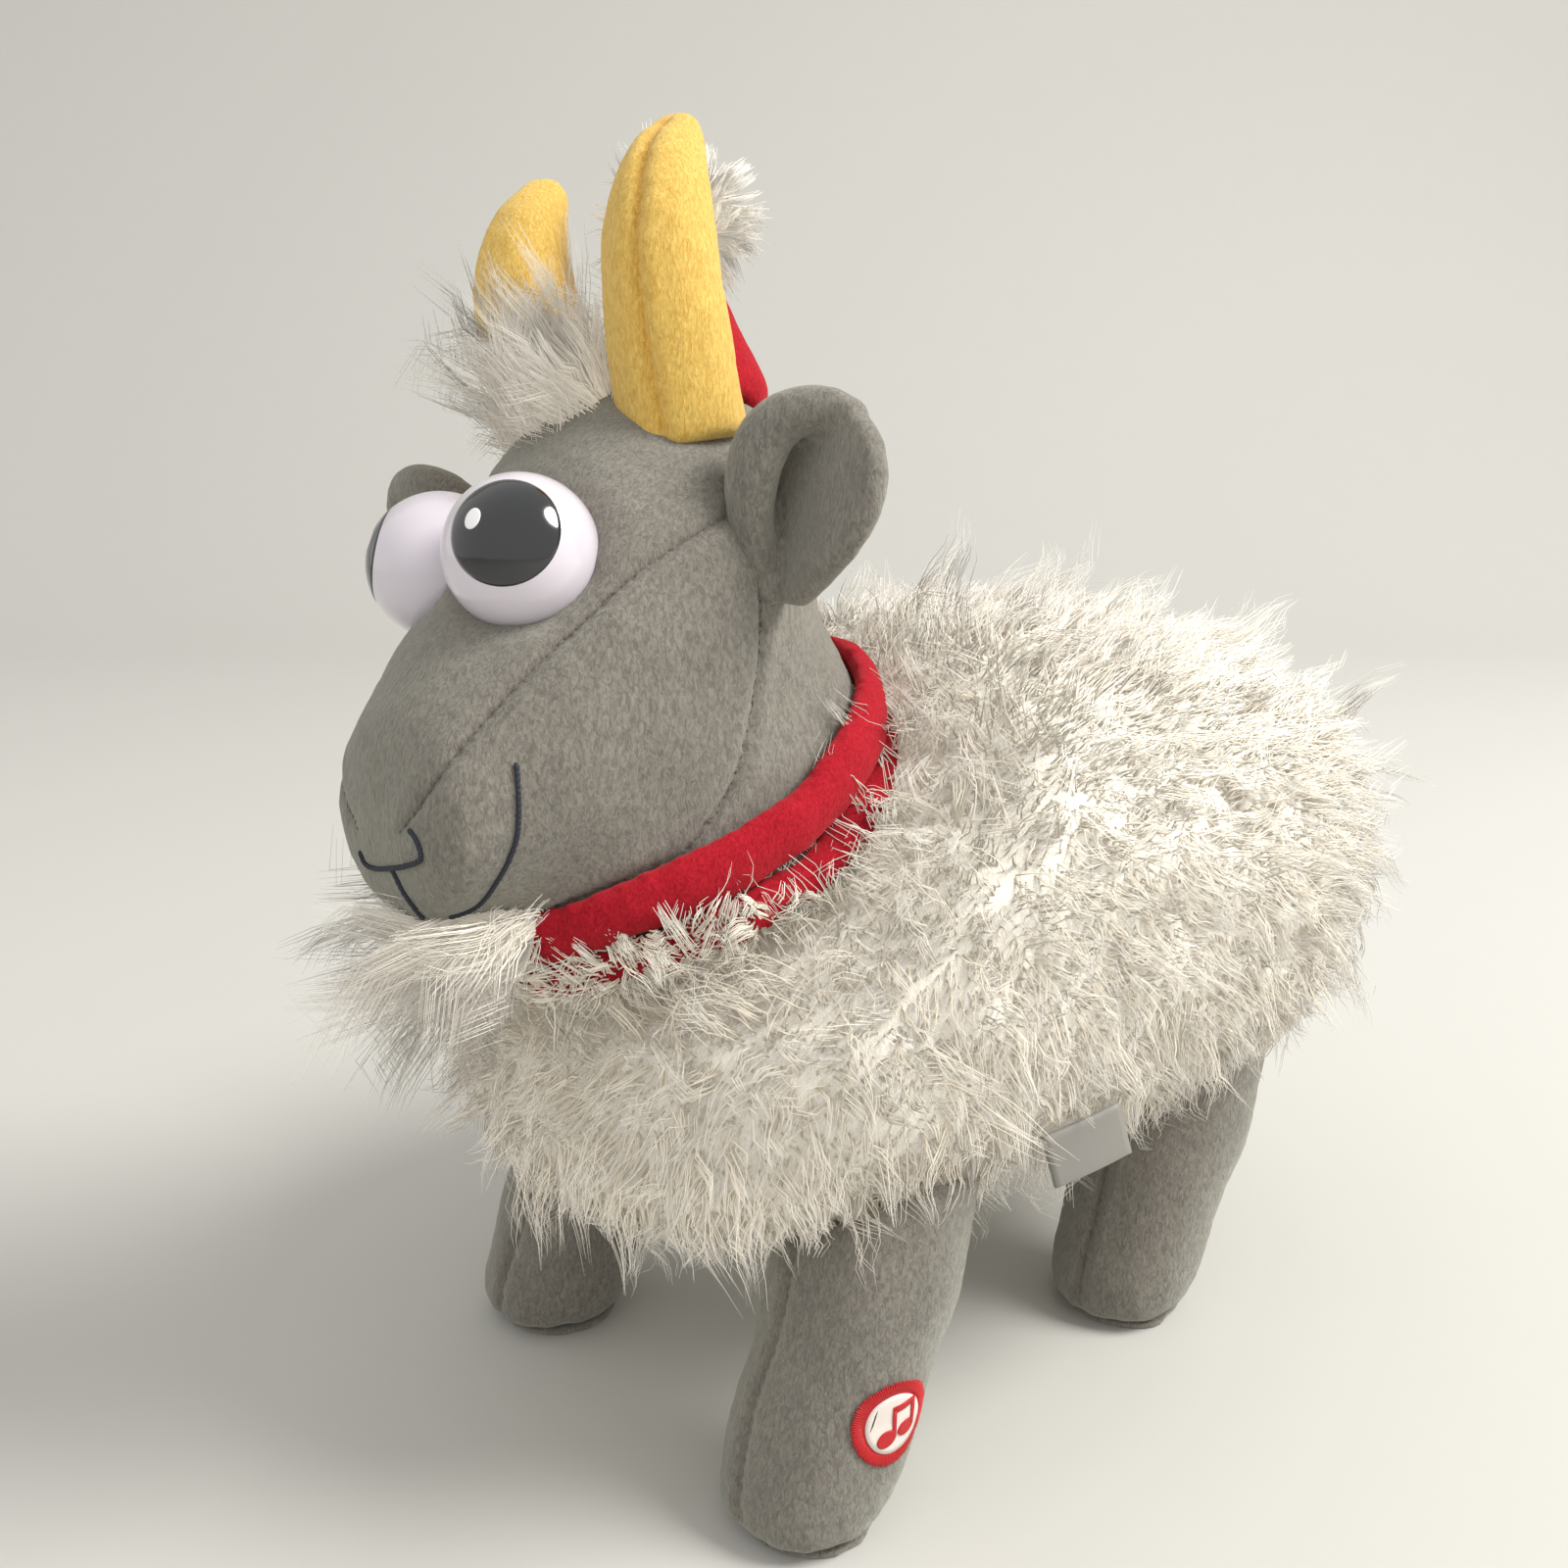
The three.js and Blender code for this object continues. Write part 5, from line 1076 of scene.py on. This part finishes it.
# how the coat changes over the body; a pair is a place and the run over which it comes in, but the
# door's pair holds half sizes
coat = {"top": (95.0, 70.0), "rear": (-50.0, 120.0), "low": (105.0, -35.0), "nearNeck": (45.0, 18.0),
        "neckBase": -16.0, "belly": 62.0, "bellyShare": 0.6, "door": (37.0, 39.0), "doorTop": 80.0,
        "legTop": 95.0, "legGap": 0.5, "topLonger": 0.08, "rearShorter": 0.12, "lowShorter": 0.35,
        "neckLonger": 0.1,
        "lie": {"back": 0.1, "rearBack": 0.7, "lowRear": 0.4, "down": 0.7, "topLess": 0.8, "offNeck": 0.35},
        "fringe": {"middle": 2.0, "half": 30.0, "below": (84.0, -14.0), "beyond": 42.0, "longer": 0.7},
        "flank": {"beyond": (58.0, 20.0), "above": (78.0, 10.0), "shorter": 0.26},
        "byTag": {"shift": (-7.0, 1.0, 3.0), "within": (18.0, -8.0), "above": 74.0, "shorter": 0.7}}


def cutPocket(skin):
    # room for the sound module, which is shown as its own solids
    wide, long = body["moduleRoom"]
    corners = [(x * wide / 2 * mm, (body["moduleMiddle"] + y * long / 2) * mm, z * mm)
               for z in body["moduleHeights"] for y in (-1, 1) for x in (-1, 1)]
    sides = [(0, 2, 3, 1), (4, 5, 7, 6), (0, 1, 5, 4), (2, 6, 7, 3), (0, 4, 6, 2), (1, 3, 7, 5)]
    pocket = addPiece("pocket", corners, sides, smooth=False)
    cut = skin.modifiers.new("pocket", "BOOLEAN")
    cut.operation = "DIFFERENCE"
    cut.object = pocket
    cut.solver = "EXACT"
    settle(skin)
    bpy.data.objects.remove(pocket)


def nearNeck(arm):
    start, run = coat["nearNeck"]
    return np.exp(-np.clip(np.linalg.norm(arm, axis=1) - start, 0.0, None) / run)[:, None]


def bodyComb(places, normals):
    # strands lie back and down, away from the neck, along the skin
    lie, top, rear = coat["lie"], ramp(places[:, 2], *coat["top"]), ramp(places[:, 1], *coat["rear"])
    arm = besideNeck(places)[2]
    near = nearNeck(arm)
    comb = np.zeros_like(places)
    comb[:, 1] = lie["back"] + lie["rearBack"] * rear * (lie["lowRear"] + (1 - lie["lowRear"]) * top)
    comb[:, 2] = -lie["down"] * (1.0 - lie["topLess"] * top)
    comb = comb * (1 - near) - lie["offNeck"] * near * arm / np.linalg.norm(arm, axis=1)[:, None]
    comb -= normals * (comb * normals).sum(1)[:, None]
    size = np.linalg.norm(comb, axis=1)
    return comb * (np.minimum(size, 1.0) / np.maximum(size, 1e-6))[:, None]


def bodyShare(places):
    # no strands inside the neck, over the battery door or inside the legs, and fewer under the belly
    x, y, z = places.T
    offset, height, _ = besideNeck(places)
    wide, deep = body["neckRoom"]
    slopeWise = np.cross(np.array(neck["axis"]), (1.0, 0.0, 0.0))
    room = (offset[:, 0] / wide) ** 2 + ((offset @ slopeWise) / deep) ** 2
    share = np.where((room < 1.0) & (height > coat["neckBase"]), 0.0, 1.0)
    share[z < coat["belly"]] = coat["bellyShare"]
    wide, long = coat["door"]
    share[(np.abs(x) < wide) & (np.abs(y - body["moduleMiddle"]) < long) & (z < coat["doorTop"])] = 0.0
    for limb in ("legFrontLeft", "legFrontRight", "legRearLeft", "legRearRight"):
        surface = surfaceOf(bpy.data.objects[limb])
        for index in np.where(z < coat["legTop"])[0]:
            place = Vector(places[index] * mm)
            spot, facing, _, _ = surface.find_nearest(place)
            if (place - spot).dot(facing) < coat["legGap"] * mm:
                share[index] = 0.0
    return share


def bodyLength(places):
    # longer over the low flank and by the neck, shorter low down, on the flank's bulge and round the tag
    x, y, z = places.T
    fringe, flank, byTag = coat["fringe"], coat["flank"], coat["byTag"]
    length = (1.0 + coat["topLonger"] * ramp(z, *coat["top"]) - coat["rearShorter"] * ramp(y, *coat["rear"])
              - coat["lowShorter"] * ramp(z, *coat["low"]))
    low = np.exp(-((y - fringe["middle"]) / fringe["half"]) ** 2) * ramp(z, *fringe["below"])
    length += fringe["longer"] * (low * (np.abs(x) > fringe["beyond"]))
    length *= 1.0 - flank["shorter"] * ramp(np.abs(x), *flank["beyond"]) * ramp(z, *flank["above"])
    length *= 1.0 + coat["neckLonger"] * nearNeck(besideNeck(places)[2])[:, 0]
    fromTag = np.linalg.norm(places - np.array(tag["fold"]) - np.array(byTag["shift"]), axis=1)
    return length * (1.0 - byTag["shorter"] * ramp(fromTag, *byTag["within"]) * (z > byTag["above"]))


furPieces = []


def growLayers(ending, skin, changes, shift=None):
    # wool and wisps; on the body each piece shifts the seed by one more
    for layer in ("wool", "wisps"):
        seed = body[layer]["Seed"] + (len(furPieces) if shift is None else shift)
        piece = growFur(layer + ending, skin, {**body[layer], **changes.get(layer, {}), "Seed": seed}, shag)
        furPieces.append(finishPiece(piece, shag, "goat"))


bodySkin = stuffed(cadCopy("body", "bodySkin", hull=True), body["cloth"])
cutPocket(bodySkin)
places, normals = placesOf(bodySkin) / mm, normalsOf(bodySkin)
setSkin(bodySkin, bodyShare(places), bodyComb(places, normals), bodyLength(places))
middles = np.array([p.center for p in bodySkin.data.polygons]) / mm
for hand, sign in (("Left", 1), ("Right", -1)):
    for band, (near, far) in body["bands"].items():
        outside = ~((middles[:, 0] * sign >= 0) & (middles[:, 1] >= near) & (middles[:, 1] < far))
        area = bodySkin.copy()
        area.data = bodySkin.data.copy()
        form = bmesh.new()
        form.from_mesh(area.data)
        form.faces.ensure_lookup_table()
        bmesh.ops.delete(form, geom=[form.faces[i] for i in np.where(outside)[0]], context="FACES")
        form.to_mesh(area.data)
        form.free()
        growLayers(hand + band, area, {})
        bpy.data.objects.remove(area)

# wool that laps over the scarf's lower edge
lap = {"side": 3.0, "throat": 9.0, "fade": 2.0, "lie": 0.25, "length": 0.8, "shift": 50, "lowest": 0.03,
       "wool": {"Strands": 1250000.0, "Locks": 110000.0}, "wisps": {"Strands": 150000.0, "Locks": 22000.0}}
lapSkin = scarfLayer.copy()
lapSkin.data = scarfLayer.data.copy()
places, normals = placesOf(lapSkin) / mm, normalsOf(lapSkin)
_, height, arm = besideNeck(places)
outward = arm / np.linalg.norm(arm, axis=1)[:, None]
forward = ramp(places[:, 1], *scarf["throat"])
lowEdge = np.quantile(height[forward == 0.0], lap["lowest"]) + scarf["layer"]["lift"] * forward
upper = lowEdge + (lap["side"] + (lap["throat"] - lap["side"]) * forward)
share = ramp(height, upper, -lap["fade"]) * ((normals * outward).sum(1) > -0.4)
comb = np.tile(lap["lie"] * np.array(neck["axis"]), (len(places), 1))
setSkin(lapSkin, share, comb, np.full(len(places), lap["length"]))
growLayers("OverScarf", lapSkin, lap, lap["shift"])
bpy.data.objects.remove(lapSkin)
finishPiece(bodySkin, woolBacking, "goat", ["body"])
for piece in furPieces:
    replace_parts(piece, "body")
print("body made", sum(len(p.data.polygons) for p in furPieces), "fur faces")

def addTag():
    # a woven strip folded in two, its ends sewn in under the shag and the fold hanging free
    along, outward = Vector(tag["along"]).normalized(), Vector(tag["faces"]).normalized()
    down = along.cross(outward).normalized()
    hang, gap, steps = tag["hang"], tag["out"] / 2, tag["steps"]
    path = [(gap * (1 - tag["taper"] * k / steps), hang * k / steps) for k in range(steps, 0, -1)]
    back = [(-wide, low) for wide, low in reversed(path)]
    turns = np.linspace(0, math.pi, tag["turns"])
    path += [(gap * math.cos(t), -gap * math.sin(t) * tag["flatten"]) for t in turns]
    path = np.array(path + back)
    slope = np.gradient(path, axis=0)
    across = np.stack([slope[:, 1], -slope[:, 0]], 1)
    across /= np.linalg.norm(across, axis=1)[:, None]
    points, faces, cuts, count = [], [], tag["cuts"], len(path)
    for level in (0.5, -0.5):
        for k in range(cuts + 1):
            run = (k / cuts - 0.5) * tag["long"]
            bow = tag["bow"] * math.sin(math.pi * k / cuts)
            for (side, low), (a, b) in zip(path, across):
                spot = (Vector(tag["fold"]) + along * run + outward * (side + a * level * tag["thick"] + bow)
                        - down * (low + b * level * tag["thick"]))
                points.append(spot * mm)
    layer = (cuts + 1) * count
    for k in range(cuts):
        for i in range(count - 1):
            a = k * count + i
            faces.append((a, a + 1, a + count + 1, a + count))
            faces.append((layer + a, layer + a + count, layer + a + count + 1, layer + a + 1))
    for k in range(cuts):
        for i in (0, count - 1):
            a = k * count + i
            faces.append((a, a + count, layer + a + count, layer + a))
    for i in range(count - 1):
        for a in (i, cuts * count + i):
            faces.append((a, layer + a, layer + a + 1, a + 1))
    return faceOutward(addPiece("sideTag", points, faces))


sideTag = finishPiece(addTag(), greySatin, "goat", ["side_tag"])
print("side tag made")


# the tufts; cores and leans are in the head's frame, only the tail leans in the goat's
def tuftSkin(name, centre, radii):
    core = ball(name, (0, 0, 0), 1.0, 20, 32)
    places = placesOf(core) * np.array(radii) * mm @ np.array(headTurn.transposed())
    setPlaces(core, places + np.array(centre))
    return core


forelock = {"centre": (-4.0, -3.5, 42.0), "core": (13.0, 11.0, 10.5), "lean": (-0.2, -0.35, 0.75),
            "fur": {"Strands": 2100000.0, "Locks": 100000.0, "Length": 23 * mm, "Unevenness": 0.65,
                    "Thickness": 0.16 * mm, "Lift": 0.8, "Tangle": 4.8, "Gather": 0.62, "Wave": 2.2,
                    "Wave Size": 2.0, "Frizz": 0.14, "Tip": 0.15, "Evenness": 0.88, "Steps": 6, "Seed": 31}}
beard = {"centre": (0.0, -49.0, -60.0), "core": (12.5, 11.0, 6.0), "lean": (-0.3, -0.8, -0.3),
         "fur": {"Strands": 2700000.0, "Locks": 100000.0, "Length": 29.5 * mm, "Unevenness": 0.6,
                 "Thickness": 0.17 * mm, "Lift": 0.8, "Tangle": 5.2, "Gather": 0.72, "Wave": 2.2,
                 "Wave Size": 2.1, "Frizz": 0.12, "Tip": 0.12, "Evenness": 0.88, "Steps": 6, "Seed": 41}}
pompom = {"core": (9.0, 9.0, 9.0), "lean": (0.0, 0.0, 0.0),
          "fur": {"Strands": 3600000.0, "Locks": 190000.0, "Length": 15 * mm, "Unevenness": 0.4,
                  "Thickness": 0.2 * mm, "Lift": 1.0, "Tangle": 2.2, "Gather": 0.72, "Wave": 0.7,
                  "Wave Size": 1.4, "Frizz": 0.12, "Tip": 0.2, "Evenness": 0.9, "Steps": 4, "Seed": 51}}
tail = {"core": (7.0, 9.0, 7.0), "lean": (0.0, 0.35, -0.45),
        "fur": {"Strands": 2600000.0, "Locks": 110000.0, "Length": 17 * mm, "Unevenness": 0.5,
                "Thickness": 0.19 * mm, "Lift": 0.9, "Tangle": 4.2, "Gather": 0.62, "Wave": 1.8,
                "Wave Size": 1.8, "Frizz": 0.15, "Tip": 0.15, "Evenness": 0.85, "Steps": 5, "Seed": 61}}


def addTuft(name, tuft, centre, node, finish, lean):
    core = tuftSkin(name + "Core", centre, tuft["core"])
    normals = normalsOf(core)
    count = len(normals)
    facing = normals @ (np.array(lean) / max(1e-6, np.linalg.norm(lean)))
    # strands thin out on the side that the tuft leans away from
    share = np.clip(0.95 + 0.8 * facing, 0.0, 1.0) if np.any(lean) else np.ones(count)
    setSkin(core, share, np.tile(np.array(lean), (count, 1)), np.ones(count))
    piece = growFur(name, core, tuft["fur"], finish)
    finishPiece(core, woolBacking, "goat", [node])
    finishPiece(piece, finish, "goat", [node])


for node, tuft in (("forelock", forelock), ("beard", beard)):
    addTuft(node + "Fur", tuft, onHead(*tuft["centre"]), node, whisker, headDirection(*tuft["lean"]))
low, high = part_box("hat_pompom")
addTuft("pompomFur", pompom, (low + high) / 2, "hat_pompom", fluff, (0.0, 0.0, 0.0))
low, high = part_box("tail")
addTuft("tailFur", tail, (low + high) / 2, "tail", shag, tail["lean"])
print("tufts made")


# floor, camera and light; the studio's sizes are metres
studio = {"floorColour": colour(196, 195, 190), "sweepStart": 1.2, "sweepRadius": 0.9, "width": 6.0,
          "front": -2.5, "wallTop": 3.5, "bends": 16, "middle": (0.0, 0.0, 0.15), "lampSize": 1.1,
          "watts": 58.0, "lampTint": (1.0, 0.985, 0.95), "airTint": (1.0, 0.99, 0.97, 1.0), "air": 0.88}
view = {"place": (280.3, -266.2, 242.4), "azimuth": 50.32, "down": 13.63, "lens": 34.96, "sensor": 36.0}
azimuth, down = math.radians(view["azimuth"]), math.radians(view["down"])
away = Vector((-math.sin(azimuth), math.cos(azimuth), 0.0))
right = Vector((math.cos(azimuth), math.sin(azimuth), 0.0))


def addFloor():
    # a paper sweep that runs away from the camera and up
    bend, radius = studio["sweepStart"], studio["sweepRadius"]
    profile = [(studio["front"], 0.0), (bend, 0.0)]
    for k in range(1, studio["bends"] + 1):
        turn = math.pi / 2 * k / studio["bends"]
        profile.append((bend + radius * math.sin(turn), radius * (1 - math.cos(turn))))
    profile.append((bend + radius, studio["wallTop"]))
    points = [away * run + right * side * studio["width"] / 2 + Vector((0, 0, rise))
              for run, rise in profile for side in (-1, 1)]
    faces = [(2 * i, 2 * i + 1, 2 * i + 3, 2 * i + 2) for i in range(len(profile) - 1)]
    floor = addPiece("floor", points, faces)
    paper = plainFinish("floorPaper", studio["floorColour"], 0.85, speckle=0.015, grain=30.0)
    floor.data.materials.append(paper)
    return floor


def placeInScene(name, data, place, towards):
    holder = bpy.data.objects.new(name, data)
    scene.collection.objects.link(holder)
    holder.location = place
    holder.rotation_euler = towards.to_track_quat("-Z", "Y").to_euler()
    return holder


addFloor()
camera = bpy.data.cameras.new("camera")
camera.lens = view["lens"]
camera.sensor_width = view["sensor"]
camera.clip_start = 0.01
back = Vector((math.sin(azimuth) * math.cos(down), -math.cos(azimuth) * math.cos(down), math.sin(down)))
scene.camera = placeInScene("camera", camera, Vector(view["place"]) * mm, -back)

lamp = bpy.data.lights.new("windowLight", "AREA")
lamp.shape = "DISK"
lamp.size = studio["lampSize"]
lamp.energy = studio["watts"]
lamp.color = studio["lampTint"]
centre = Vector(studio["middle"])
lampPlace = centre + right * 1.5 + Vector((0, 0, 1.6)) - away * 0.3
placeInScene("windowLight", lamp, lampPlace, centre - lampPlace)
world = bpy.data.worlds.new("studio")
world.use_nodes = True
air = world.node_tree.nodes["Background"]
setInputs(world.node_tree, air, {0: studio["airTint"], 1: studio["air"]})
scene.world = world
scene.view_settings.view_transform = "Standard"
print("studio made")
